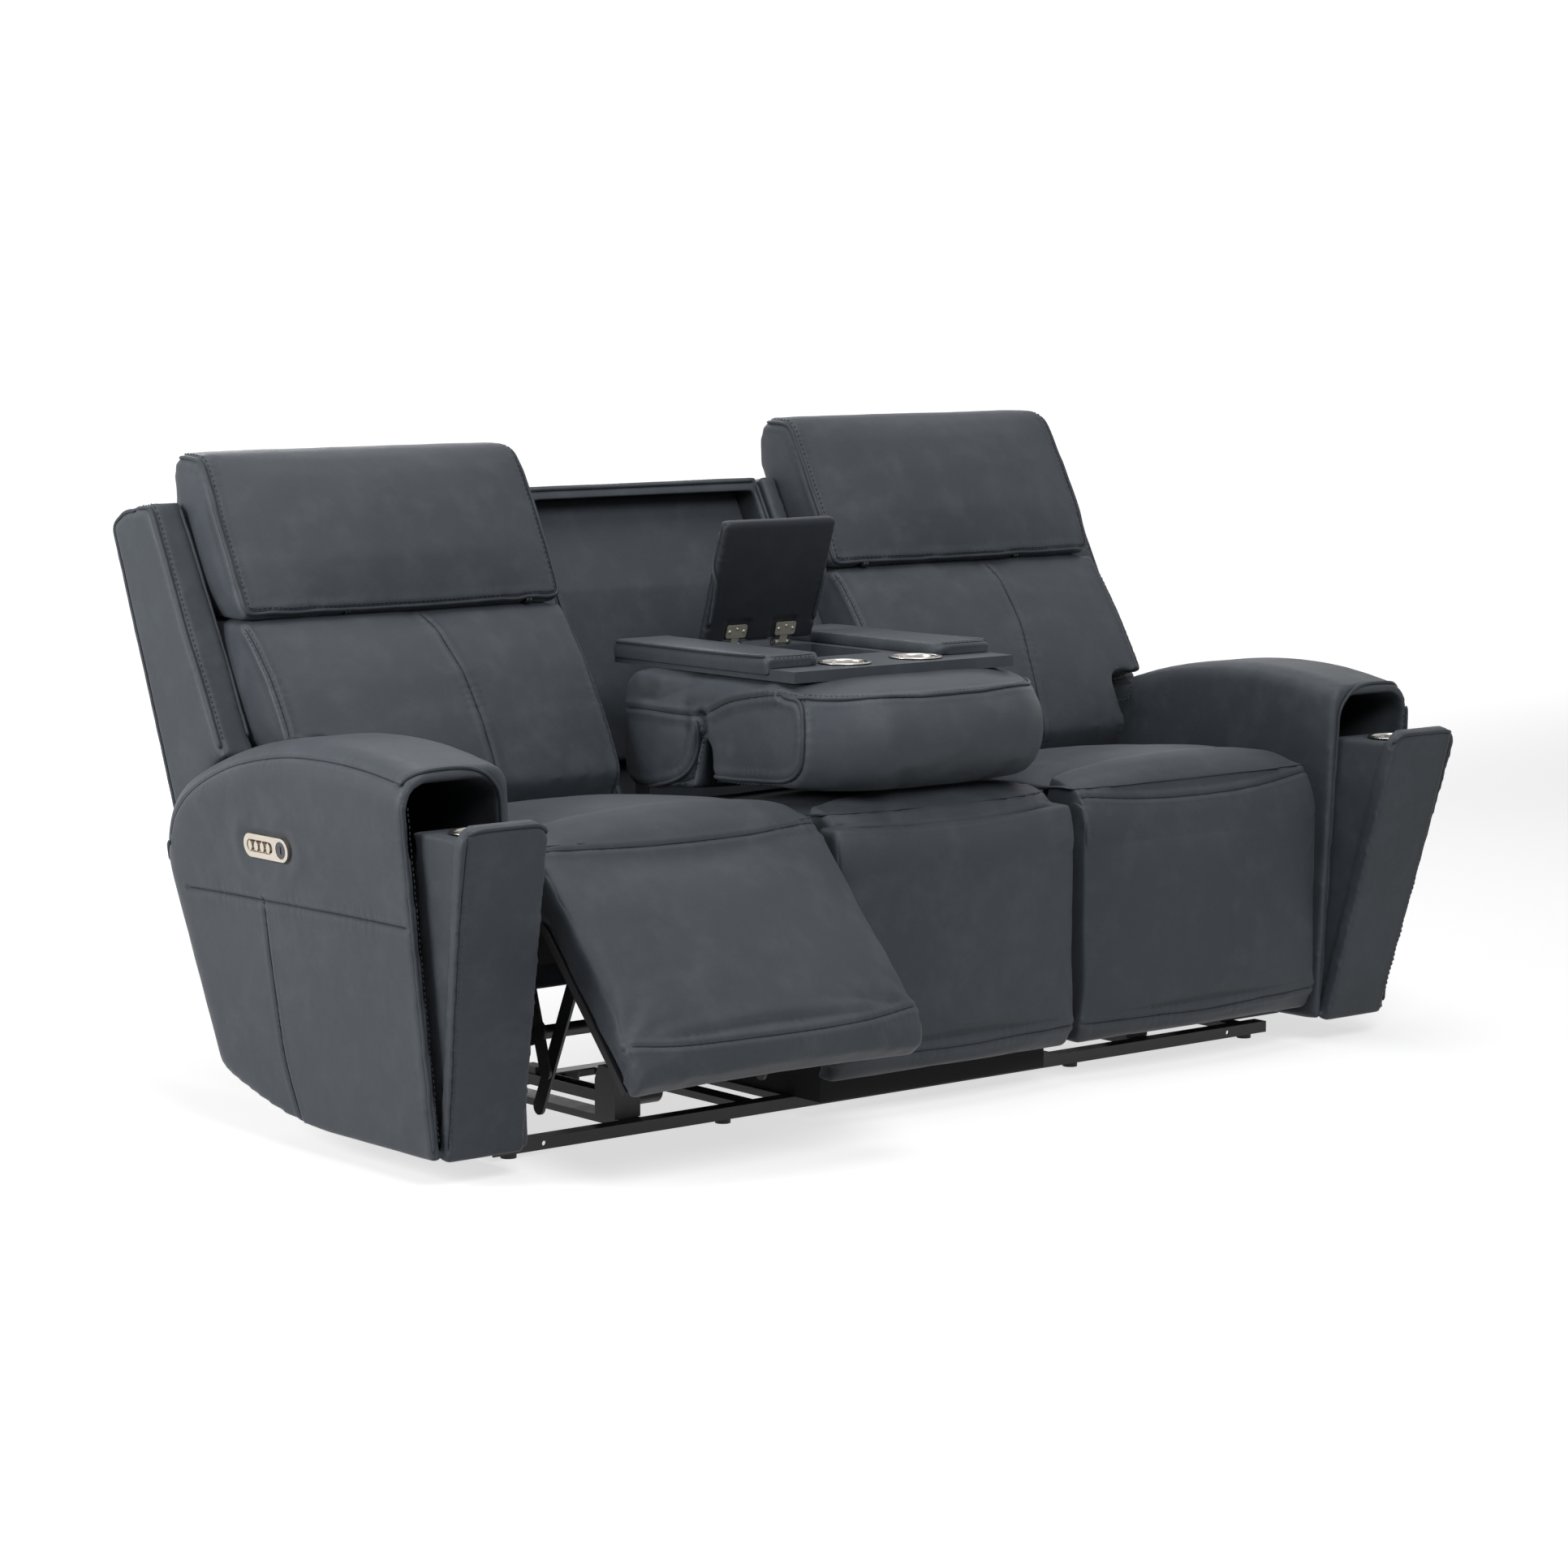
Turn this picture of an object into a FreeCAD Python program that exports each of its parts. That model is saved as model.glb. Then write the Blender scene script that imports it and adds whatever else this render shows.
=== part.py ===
import FreeCAD, Part
import math
import os

import Sketcher
from FreeCAD import Vector

# Power reclining sofa, three seats wide, in millimetres. X runs to the viewer's right, the sofa
# faces -Y and Z is up. The origin is on the floor under the middle of the sofa. It is drawn with
# the left footrest part open, the middle back folded down, its lid up and both arm trays tilted out.


class Size:
    """A number together with the sheet formula that gives it."""

    def __init__(self, value, text):
        self.value = float(value)
        self.text = text

    def __float__(self):
        return self.value

    def __add__(self, other):
        return Size(self.value + float(other), f"({self.text} + {words(other)})")

    def __radd__(self, other):
        return Size(float(other) + self.value, f"({words(other)} + {self.text})")

    def __sub__(self, other):
        return Size(self.value - float(other), f"({self.text} - {words(other)})")

    def __rsub__(self, other):
        return Size(float(other) - self.value, f"({words(other)} - {self.text})")

    def __mul__(self, other):
        return Size(self.value * float(other), f"({self.text} * {words(other)})")

    def __rmul__(self, other):
        return Size(float(other) * self.value, f"({words(other)} * {self.text})")

    def __truediv__(self, other):
        return Size(self.value / float(other), f"({self.text} / {words(other)})")

    def __rtruediv__(self, other):
        return Size(float(other) / self.value, f"({words(other)} / {self.text})")

    def __neg__(self):
        return Size(-self.value, f"(-1 * {self.text})")


def words(value):
    """The formula of a size, or the digits of a plain number."""
    return value.text if isinstance(value, Size) else f"({float(value):.6f})"


def sine(angle):
    return Size(math.sin(math.radians(float(angle))), f"sin({words(angle)} * 1 deg)")


def cosine(angle):
    return Size(math.cos(math.radians(float(angle))), f"cos({words(angle)} * 1 deg)")


def root(value):
    return Size(math.sqrt(float(value)), f"sqrt({words(value)})")


doc = FreeCAD.newDocument("reclining_sofa")
sheet = doc.addObject("Spreadsheet::Sheet", "Sizes")
rows = 0


def size(name, value):
    """Put one driving dimension into the sheet and give it back as a Size."""
    global rows
    rows += 1
    sheet.set(f"A{rows}", name)
    sheet.set(f"B{rows}", str(value))
    sheet.setAlias(f"B{rows}", name)
    return Size(value, f"Sizes.{name}")


def derive(name, value):
    """Put a dimension that follows from others into the sheet, as a formula."""
    global rows
    rows += 1
    sheet.set(f"A{rows}", name)
    sheet.set(f"B{rows}", "=" + value.text.replace("Sizes.", ""))
    sheet.setAlias(f"B{rows}", name)
    return Size(value.value, f"Sizes.{name}")


# Clearances
fit_gap = size("fit_gap", 0.3)
pin_gap = size("pin_gap", 0.08)
seat_gap = size("seat_gap", 3)

# Widths, measured from the middle of the sofa
middle_half = size("middle_half_width", 274)
side_seat_inner = middle_half + seat_gap
arm_inner_foot = size("arm_inner_face_at_foot", 872)
arm_inner_head = size("arm_inner_face_at_head", 908)
arm_outer_foot = size("arm_outer_face_at_foot", 1056)
arm_outer_head = size("arm_outer_face_at_head", 1110)
side_seat_outer = arm_inner_foot - seat_gap * 2
side_centre = (side_seat_inner + side_seat_outer) / 2
side_half = (side_seat_outer - side_seat_inner) / 2

# Arms
arm_front = size("arm_front", -340)
arm_base = size("arm_base", 42)
arm_flat_end = size("arm_flat_end", -40)
arm_front_top = size("arm_front_top", 646)
arm_crest = size("arm_crest", 672)
arm_tail = size("arm_tail", 398)
arm_tail_height = size("arm_tail_height", 432)
arm_heel = size("arm_heel", 300)
arm_heel_height = size("arm_heel_height", 122)
arm_head = size("arm_head_height", 600)
arm_crown_fall = size("arm_crown_fall", 88)
arm_rim = size("arm_rim", 18)
arm_head_width = arm_outer_head - arm_inner_head
arm_round_outer = derive("arm_round_outer", arm_head_width * 0.297)
arm_round_inner = derive("arm_round_inner", arm_head_width * 0.168)
pocket_depth = size("arm_pocket_depth", 270)
pocket_top = size("arm_pocket_top", 626)
pocket_floor = size("arm_pocket_floor", 56)

# Arm trays
tray_tilt = size("tray_tilt", 13.3)
tray_hinge_y = arm_front + 8
tray_hinge_z = size("tray_hinge_height", 53)
tray_panel_thick = size("tray_panel_thickness", 24)
tray_panel_proud = size("tray_panel_proud", 10)
tray_panel_top = size("tray_panel_top", 590)
tray_play = size("tray_play", 2.5)
tray_inset = size("tray_inset", 7)
tray_depth = size("tray_depth", 122)
tray_drop = size("tray_drop", 24)
tray_pin = size("tray_pin_radius", 4)

# Cup holders
cup_bore = size("cup_bore_radius", 37)
cup_flange = size("cup_flange_radius", 46)
cup_wall = size("cup_wall", 1.2)
cup_deep = size("cup_depth", 66)

# Seats
seat_rear = size("seat_rear", 150)
deck_top = size("deck_top", 420)
deck_base = size("deck_base", 305)
deck_front = size("deck_front", -226)
deck_rear = size("deck_rear", 140)
deck_wall = size("deck_wall", 60)
deck_skin = size("deck_skin", 18)
seat_crown = size("seat_crown", 546)
nose_front = size("nose_front", -352)

# Footrests: the hinge line at the seat's front edge, and how far each stands open
foot_hinge_y = size("footrest_hinge_y", -322)
foot_hinge_z = size("footrest_hinge_z", 468)
foot_root = size("footrest_root_radius", 30)
foot_length = size("footrest_length", 408)
foot_crown = size("footrest_crown", 24)
left_open = size("left_footrest_open", 42)
right_open = size("right_footrest_open", 0)
board_thick = size("board_thickness", 12)

# Footrest linkage
plate_thick = size("plate_thickness", 5)
link_gap = size("link_gap", 1.5)
plate_offset = size("plate_offset", 240)
lift_pivot_y = foot_hinge_y + size("lift_pivot_back", 82)
lift_pivot_z = foot_hinge_z - size("lift_pivot_drop", 185)
lift_reach_back = size("lift_reach_back", 60)
lift_reach_down = size("lift_reach_down", 130)
link_round = size("link_end_radius", 13)
link_pin = size("link_pin_radius", 6)
link_tail = size("link_tail", 66)
tube_radius = size("torque_tube_radius", 12.5)
tube_share = size("torque_tube_share", 0.55)
tube_aside = size("torque_tube_aside", 31)

# Base frame and feet
rail_y = size("rail_y", 225)
rail_half = size("rail_half_length", 864)
rail_base = size("rail_base", 8)
rail_top = size("rail_top", 28)
rail_wall = size("rail_wall", 3)
rail_flange = size("rail_flange", 30)
foot_radius = size("foot_radius", 13)
foot_outer_x = size("foot_outer_x", 823)
foot_inner_x = size("foot_inner_x", 390)
bar_width = size("bar_width", 36)
bar_thick = size("bar_thickness", 12)

# Backs: the front edge and the rear face of every outer back lean by these slopes
back_front_top = size("back_front_top_y", 507)
back_top = size("back_top", 1010)
back_front_slope = size("back_front_slope", 0.5416)
back_rear_top = size("back_rear_top_y", 631)
back_rear_height = size("back_rear_top_height", 967)
back_rear_slope = size("back_rear_slope", 0.4)
back_wall = size("back_wall", 40)
arm_clearance = size("arm_clearance", 7)
back_base = size("back_base", 160)
back_inner = size("back_inner_face", 272)
back_outer = size("back_outer_face", 1030)
wing_inner = size("inner_wing_thickness", 33)
wing_outer = size("outer_wing_thickness", 65)
hip_y = size("recline_hinge_y", 255)
hip_z = size("recline_hinge_z", 330)
hip_pin = size("recline_pin_radius", 8)
right_head_rise = size("right_headrest_rise", 26)
head_hinge_y = size("head_hinge_y", 334)
head_hinge_z = size("head_hinge_z", 828)
head_pin = size("head_pin_radius", 3)
head_eye = size("head_eye_radius", 6)
head_offset = size("head_arm_offset", 180)

# Middle back and its fold-down console
middle_outer = size("middle_back_half", 267)
middle_wall = size("middle_back_side", 15)
middle_set_back = size("middle_set_back", 8)
recess_top = size("recess_top", 985)
recess_deep = size("recess_depth", 62)
recess_seam = size("recess_seam_height", 823)
recess_foot = size("recess_foot", 520)
fold_y = size("fold_hinge_y", 164)
fold_z = size("fold_hinge_z", 608)
fold_pin = size("fold_pin_radius", 8)
console_half = size("console_half", 262)
table_half = size("table_half", 243)
table_top = size("table_top", 735)
table_thick = size("table_thickness", 19)
table_front = size("table_front", -215)
table_rear = size("table_rear", 275)
roll_base = size("roll_base", 534)
lumbar_base = size("lumbar_base", 510)
well_half = size("well_half", 108)
well_front = size("well_front", -30)
well_rear = size("well_rear", 165)
well_deep = size("well_depth", 116)
well_wall = size("well_wall", 4)
pad_inner = size("pad_inner", 127)
pad_outer = size("pad_outer", 248)
pad_front = size("pad_front", -150)
pad_thick = size("pad_thickness", 22)
console_cup_x = size("console_cup_x", 79)
console_cup_y = size("console_cup_y", -148)
lid_hinge_y = size("lid_hinge_y", 186)
lid_hinge_z = size("lid_hinge_z", 741)
lid_length = size("lid_length", 224)
lid_tail = size("lid_tail", 6)
lid_half = size("lid_half", 124)
lid_open = size("lid_open", 72)
knuckle = size("lid_knuckle_radius", 4)

# Control plates
plate_y = size("control_plate_y", 48)
plate_z = size("control_plate_z", 492)
plate_length = size("control_plate_length", 127)
plate_height = size("control_plate_height", 38)
plate_proud = size("control_plate_proud", 4)
plate_sunk = size("control_plate_sunk", 4)
plate_floor = size("control_plate_floor", 2)
slot_length = size("control_slot_length", 74)
slot_height = size("control_slot_height", 20)
slot_shift = size("control_slot_shift", 17)
port_radius = size("port_radius", 13.7)
port_shift = size("port_shift", -43)
paddle_pitch = size("paddle_pitch", 17.4)
paddle_half = size("paddle_half_width", 5.5)
paddle_tall = size("paddle_half_height", 8.5)
rocker_height = size("rocker_height", 1.6)
rocker_radius = size("rocker_radius", 1.4)

doc.recompute()
nodes = []


def keep(label, thing):
    """Name a finished sub-part and put it on the list that is written out."""
    thing.Label = label
    nodes.append(thing)
    return thing


def origin_plane(body, role):
    for feature in body.Origin.OriginFeatures:
        if feature.Role == role:
            return feature
    raise ValueError(role)


class Bow:
    """A point that the side between its two neighbours bows through, as an arc."""

    def __init__(self, across, up):
        self.across = across
        self.up = up


def spot(across, up):
    return Vector(float(across), float(up), 0)


def bowed(start, middle, end):
    """An arc through three points, always drawn anticlockwise as sketches need it."""
    if (middle - start).cross(end - middle).z < 0:
        start, end = end, start
    return Part.Arc(start, middle, end)


def end_at(sketch, edge, point):
    """Which end of a sketch edge lies at a point: 1 for its start, 2 for its end."""
    start = sketch.Geometry[edge].StartPoint
    return 1 if (start - point).Length < 1e-6 else 2


def fix(sketch, rules, formulas):
    """Add all constraints of a sketch at once, and bind the dimensions to the sheet."""
    first = sketch.ConstraintCount
    sketch.addConstraint(rules)
    for index, text in formulas:
        sketch.setExpression(f"Constraints[{first + index}]", text)


def outline_sketch(body, role, outline, height):
    """A closed outline of straight sides and arcs, each corner bound to the sheet."""
    sketch = body.newObject("Sketcher::SketchObject", "Outline")
    sketch.AttachmentSupport = (origin_plane(body, role), [""])
    sketch.MapMode = "FlatFace"
    sketch.setExpression(".AttachmentOffset.Base.z", words(height))
    corners = [item for item in outline if not isinstance(item, Bow)]
    bows = {}
    count = 0
    for item in outline:
        if isinstance(item, Bow):
            bows[count - 1] = item
        else:
            count += 1
    for index, corner in enumerate(corners):
        start = spot(*corner)
        end = spot(*corners[(index + 1) % count])
        if index in bows:
            bow = bows[index]
            sketch.addGeometry(bowed(start, spot(bow.across, bow.up), end), False)
        else:
            sketch.addGeometry(Part.LineSegment(start, end), False)
    rules = []
    formulas = []
    for index, corner in enumerate(corners):
        point = spot(*corner)
        here = end_at(sketch, index, point)
        before = (index - 1) % count
        there = end_at(sketch, before, point)
        rules.append(Sketcher.Constraint("Coincident", before, there, index, here))
        for kind, value in (("DistanceX", corner[0]), ("DistanceY", corner[1])):
            formulas.append((len(rules), words(value)))
            rules.append(Sketcher.Constraint(kind, -1, 1, index, here, float(value)))
    for index, bow in bows.items():
        mark = sketch.addGeometry(Part.Point(spot(bow.across, bow.up)), True)
        rules.append(Sketcher.Constraint("PointOnObject", mark, 1, index))
        for kind, value in (("DistanceX", bow.across), ("DistanceY", bow.up)):
            formulas.append((len(rules), words(value)))
            rules.append(Sketcher.Constraint(kind, -1, 1, mark, 1, float(value)))
    fix(sketch, rules, formulas)
    return sketch


def circle_sketch(body, role, centres, radius, height):
    """Equal circles at the given centres, bound to the sheet."""
    sketch = body.newObject("Sketcher::SketchObject", "Circles")
    sketch.AttachmentSupport = (origin_plane(body, role), [""])
    sketch.MapMode = "FlatFace"
    sketch.setExpression(".AttachmentOffset.Base.z", words(height))
    rules = []
    formulas = []
    for across, up in centres:
        ring = Part.Circle(spot(across, up), Vector(0, 0, 1), float(radius))
        index = sketch.addGeometry(ring, False)
        for kind, value in (("DistanceX", across), ("DistanceY", up)):
            formulas.append((len(rules), words(value)))
            rules.append(Sketcher.Constraint(kind, -1, 1, index, 3, float(value)))
        formulas.append((len(rules), words(radius)))
        rules.append(Sketcher.Constraint("Radius", index, float(radius)))
    fix(sketch, rules, formulas)
    return sketch


# The sketch plane that each direction is seen on, and which way its normal points
PLANES = {"X": ("YZ_Plane", 1), "Y": ("XZ_Plane", -1), "Z": ("XY_Plane", 1)}


def place_of(axis, at):
    role, normal = PLANES[axis]
    return role, at * normal, normal


def extrude(body, sketch, kind, length, backwards):
    feature = body.newObject(f"PartDesign::{kind}", kind)
    feature.Profile = sketch
    feature.setExpression("Length", words(length))
    feature.Reversed = backwards
    sketch.Visibility = False
    doc.recompute()
    return feature


def add_plate(body, axis, outline, at, length, toward=1):
    """Pad an outline seen along an axis, from the place at, toward + or - of the axis."""
    role, height, normal = place_of(axis, at)
    sketch = outline_sketch(body, role, outline, height)
    return extrude(body, sketch, "Pad", length, toward != normal)


def cut_plate(body, axis, outline, at, length, toward=1):
    """Pocket an outline seen along an axis; the pocket has to remove something."""
    role, height, normal = place_of(axis, at)
    sketch = outline_sketch(body, role, outline, height)
    return cut_sketch(body, sketch, length, toward == normal)


def cut_sketch(body, sketch, length, backwards):
    before = body.Shape.Volume
    feature = extrude(body, sketch, "Pocket", length, backwards)
    if before - body.Shape.Volume < 0.5:
        raise ValueError(f"a pocket of {body.Label} cuts nothing")
    return feature


def add_round(body, axis, centres, radius, at, length, toward=1):
    role, height, normal = place_of(axis, at)
    sketch = circle_sketch(body, role, centres, radius, height)
    return extrude(body, sketch, "Pad", length, toward != normal)


def cut_round(body, axis, centres, radius, at, length, toward=1):
    role, height, normal = place_of(axis, at)
    sketch = circle_sketch(body, role, centres, radius, height)
    return cut_sketch(body, sketch, length, toward == normal)


def soften(body, radius, wanted):
    """Round the edges that the test picks by their middle point and direction."""
    names = []
    for index, edge in enumerate(body.Shape.Edges, 1):
        middle = edge.CenterOfMass
        first, last = edge.FirstParameter, edge.LastParameter
        along = edge.valueAt(last) - edge.valueAt(first)
        if along.Length > 0:
            along.normalize()
        if wanted(middle, along, edge):
            names.append(f"Edge{index}")
    fillet = body.newObject("PartDesign::Fillet", "Fillet")
    fillet.Base = (body.Tip if body.Tip is not fillet else fillet.BaseFeature, names)
    fillet.setExpression("Radius", words(radius))
    doc.recompute()
    return fillet


def new_body(label):
    body = doc.addObject("PartDesign::Body", "Body")
    body.Label = label
    return body


def box(x0, x1, y0, y1, z0, z1):
    """A Part box between bound limits."""
    block = doc.addObject("Part::Box", "Box")
    for name, value in (("Length", x1 - x0), ("Width", y1 - y0), ("Height", z1 - z0)):
        block.setExpression(name, words(value))
    for letter, value in (("x", x0), ("y", y0), ("z", z0)):
        block.setExpression(f".Placement.Base.{letter}", words(value))
    return block


def upright(radius, x, y, z0, z1):
    """A Part cylinder standing on z0."""
    rod = doc.addObject("Part::Cylinder", "Cylinder")
    rod.setExpression("Radius", words(radius))
    rod.setExpression("Height", words(z1 - z0))
    for letter, value in (("x", x), ("y", y), ("z", z0)):
        rod.setExpression(f".Placement.Base.{letter}", words(value))
    return rod


def cut_away(base, tool):
    result = doc.addObject("Part::Cut", "Cut")
    result.Base = base
    result.Tool = tool
    return result


def group(label, members):
    """Several solids of one kind as one sub-part."""
    result = doc.addObject("Part::Compound", "Group")
    result.Links = members
    return keep(label, result)


def solid_feature(label, shape):
    feature = doc.addObject("Part::Feature", "Solid")
    feature.Shape = shape
    return keep(label, feature)


def rectangle(middle, half, front, rear):
    """Corners of a plan view rectangle."""
    return [
        (middle - half, front),
        (middle + half, front),
        (middle + half, rear),
        (middle - half, rear),
    ]


def turned(y, z, angle):
    """Turn a (Y, Z) offset forwards and up, as a footrest opens."""
    return (
        y * cosine(angle) + z * sine(angle),
        z * cosine(angle) - y * sine(angle),
    )


def about_x(hinge_y, hinge_z, degrees):
    """The placement that turns a piece about a hinge line along X."""
    return FreeCAD.Placement(
        Vector(0, 0, 0),
        FreeCAD.Rotation(Vector(1, 0, 0), float(degrees)),
        Vector(0, float(hinge_y), float(hinge_z)),
    )


def cushion(sections):
    """A stuffed form: a loft through sections, each three straight sides and one bowed side."""
    wires = []
    for rear_left, rear_right, front_right, crown, front_left in sections:
        edges = [
            Part.LineSegment(front_left, rear_left).toShape(),
            Part.LineSegment(rear_left, rear_right).toShape(),
            Part.LineSegment(rear_right, front_right).toShape(),
            Part.Arc(front_right, crown, front_left).toShape(),
        ]
        wires.append(Part.Wire(edges))
    return Part.makeLoft(wires, True, True)


def level_section(x0, x1, front, rear, crown, height):
    """A section of an upright cushion at one height, bowed towards the sitter."""
    z = float(height)
    low, high = sorted((float(x0), float(x1)))
    return (
        Vector(low, float(rear), z),
        Vector(high, float(rear), z),
        Vector(high, float(front), z),
        Vector((low + high) / 2, float(front) - float(crown), z),
        Vector(low, float(front), z),
    )


def cross_section(x0, x1, base, top, crown, y):
    """A section of a lying cushion at one depth, bowed upwards."""
    depth = float(y)
    low, high = sorted((float(x0), float(x1)))
    return (
        Vector(low, depth, float(base)),
        Vector(high, depth, float(base)),
        Vector(high, depth, float(top)),
        Vector((low + high) / 2, depth, float(top) + float(crown)),
        Vector(low, depth, float(top)),
    )


def front_edge(z):
    """Y of the outer backs' front edge at a height."""
    return back_front_top - back_front_slope * (back_top - z)


def rear_face(z):
    """Y of the outer backs' rear face at a height."""
    return back_rear_top - back_rear_slope * (back_rear_height - z)


def inner_face(z):
    """Y of the front of the outer backs' rear wall at a height."""
    return rear_face(z) - back_wall


def arm_inner(z):
    slope = (arm_inner_head - arm_inner_foot) / (arm_head - arm_base)
    return arm_inner_foot + (z - arm_base) * slope


def arm_outer(z):
    slope = (arm_outer_head - arm_outer_foot) / (arm_head - arm_base)
    return arm_outer_foot + (z - arm_base) * slope


def far(ay, az, by, bz):
    """Distance between two places in the side view."""
    return root((ay - by) * (ay - by) + (az - bz) * (az - bz))


# The arm's top is one wide arc, run into its straight rear edge by a tangent arc
crest_y = arm_front + 250
crown_y = derive("crown_end_y", arm_tail - 90)
crown_z = derive("crown_end_z", arm_crest - arm_crown_fall)
run_a = derive("crown_run_front", arm_front - crest_y)
rise_a = derive("crown_rise_front", arm_front_top - arm_crest)
run_b = derive("crown_run_rear", crown_y - crest_y)
rise_b = derive("crown_rise_rear", crown_z - arm_crest)
spread = derive("crown_spread", 2 * (run_a * rise_b - rise_a * run_b))
square_a = derive("crown_square_front", run_a * run_a + rise_a * rise_a)
square_b = derive("crown_square_rear", run_b * run_b + rise_b * rise_b)
bow_y = derive("crown_centre_y", crest_y + (rise_b * square_a - rise_a * square_b) / spread)
bow_z = derive("crown_centre_z", arm_crest + (run_a * square_b - run_b * square_a) / spread)
bow_r = derive("crown_radius", far(bow_y, bow_z, crown_y, crown_z))
normal_y = derive("crown_normal_y", (crown_y - bow_y) / bow_r)
normal_z = derive("crown_normal_z", (crown_z - bow_z) / bow_r)
edge_run = derive("rear_edge_run", far(arm_heel, arm_heel_height, arm_tail, arm_tail_height))
edge_y = derive("rear_edge_normal_y", (arm_tail_height - arm_heel_height) / edge_run)
edge_z = derive("rear_edge_normal_z", (arm_heel - arm_tail) / edge_run)
inward = (arm_heel - crown_y) * edge_y + (arm_heel_height - crown_z) * edge_z
turn_r = derive("turn_radius", inward / (1 - normal_y * edge_y - normal_z * edge_z))
turn_y = derive("turn_centre_y", crown_y - turn_r * normal_y)
turn_z = derive("turn_centre_z", crown_z - turn_r * normal_z)
half_y = normal_y + edge_y
half_z = normal_z + edge_z
half_run = derive("turn_middle_run", root(half_y * half_y + half_z * half_z))
turn_middle_y = derive("turn_middle_y", turn_y + turn_r * half_y / half_run)
turn_middle_z = derive("turn_middle_z", turn_z + turn_r * half_z / half_run)
turn_end_y = derive("turn_end_y", turn_y + turn_r * edge_y)
turn_end_z = derive("turn_end_z", turn_z + turn_r * edge_z)
doc.recompute()

# Base frame
front_rail = new_body("front_base_rail")
front_profile = [
    (-rail_y, rail_base),
    (-rail_y, rail_top),
    (-rail_y + rail_flange, rail_top),
    (-rail_y + rail_flange, rail_top - rail_wall),
    (-rail_y + rail_wall, rail_top - rail_wall),
    (-rail_y + rail_wall, rail_base),
]
add_plate(front_rail, "X", front_profile, -rail_half, rail_half * 2)
rail_holes = [(side * (rail_half - 99), (rail_base + rail_top) / 2) for side in (-1, 1)]
cut_round(front_rail, "Y", rail_holes, 4, -rail_y - 1, rail_wall + 2)
keep("front_base_rail", front_rail)

rear_rail = new_body("rear_rail")
add_plate(rear_rail, "X", [(-y, z) for y, z in front_profile], -rail_half, rail_half * 2)

plate_middle = plate_offset - plate_thick / 2
bar_end = rail_y - rail_flange
frame_bars = [rear_rail]
for side in (-1, 1):
    bar_places = (side_centre + plate_middle, side_centre - plate_middle, middle_half - bar_width)
    for x in bar_places:
        low = side * x - bar_width / 2
        high = side * x + bar_width / 2
        frame_bars.append(box(low, high, -bar_end, bar_end, rail_top - bar_thick, rail_top))
    strap = side * side_centre
    frame_bars.append(
        box(strap - 22, strap + 22, -bar_end, bar_end, rail_top - bar_thick, rail_top)
    )
    bracket_inner = side_centre + plate_middle - bar_width / 2
    bracket_outer = arm_inner_foot + 70
    limits = sorted((side * bracket_inner, side * bracket_outer), key=float)
    for y in (arm_flat_end - 140, arm_flat_end - 50):
        frame_bars.append(box(limits[0], limits[1], y, y + 30, rail_top, arm_base))
group("base_frame_rails", frame_bars)

feet = []
for x in (-foot_outer_x, -foot_inner_x, foot_inner_x, foot_outer_x):
    for side in (-1, 1):
        y = side * (rail_y - rail_wall - foot_radius - 0.5)
        feet.append(upright(foot_radius, x, y, 0, rail_top - rail_wall))
        feet[-1].setExpression("Placement.Base.z", "0")
group("feet", feet)


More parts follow.
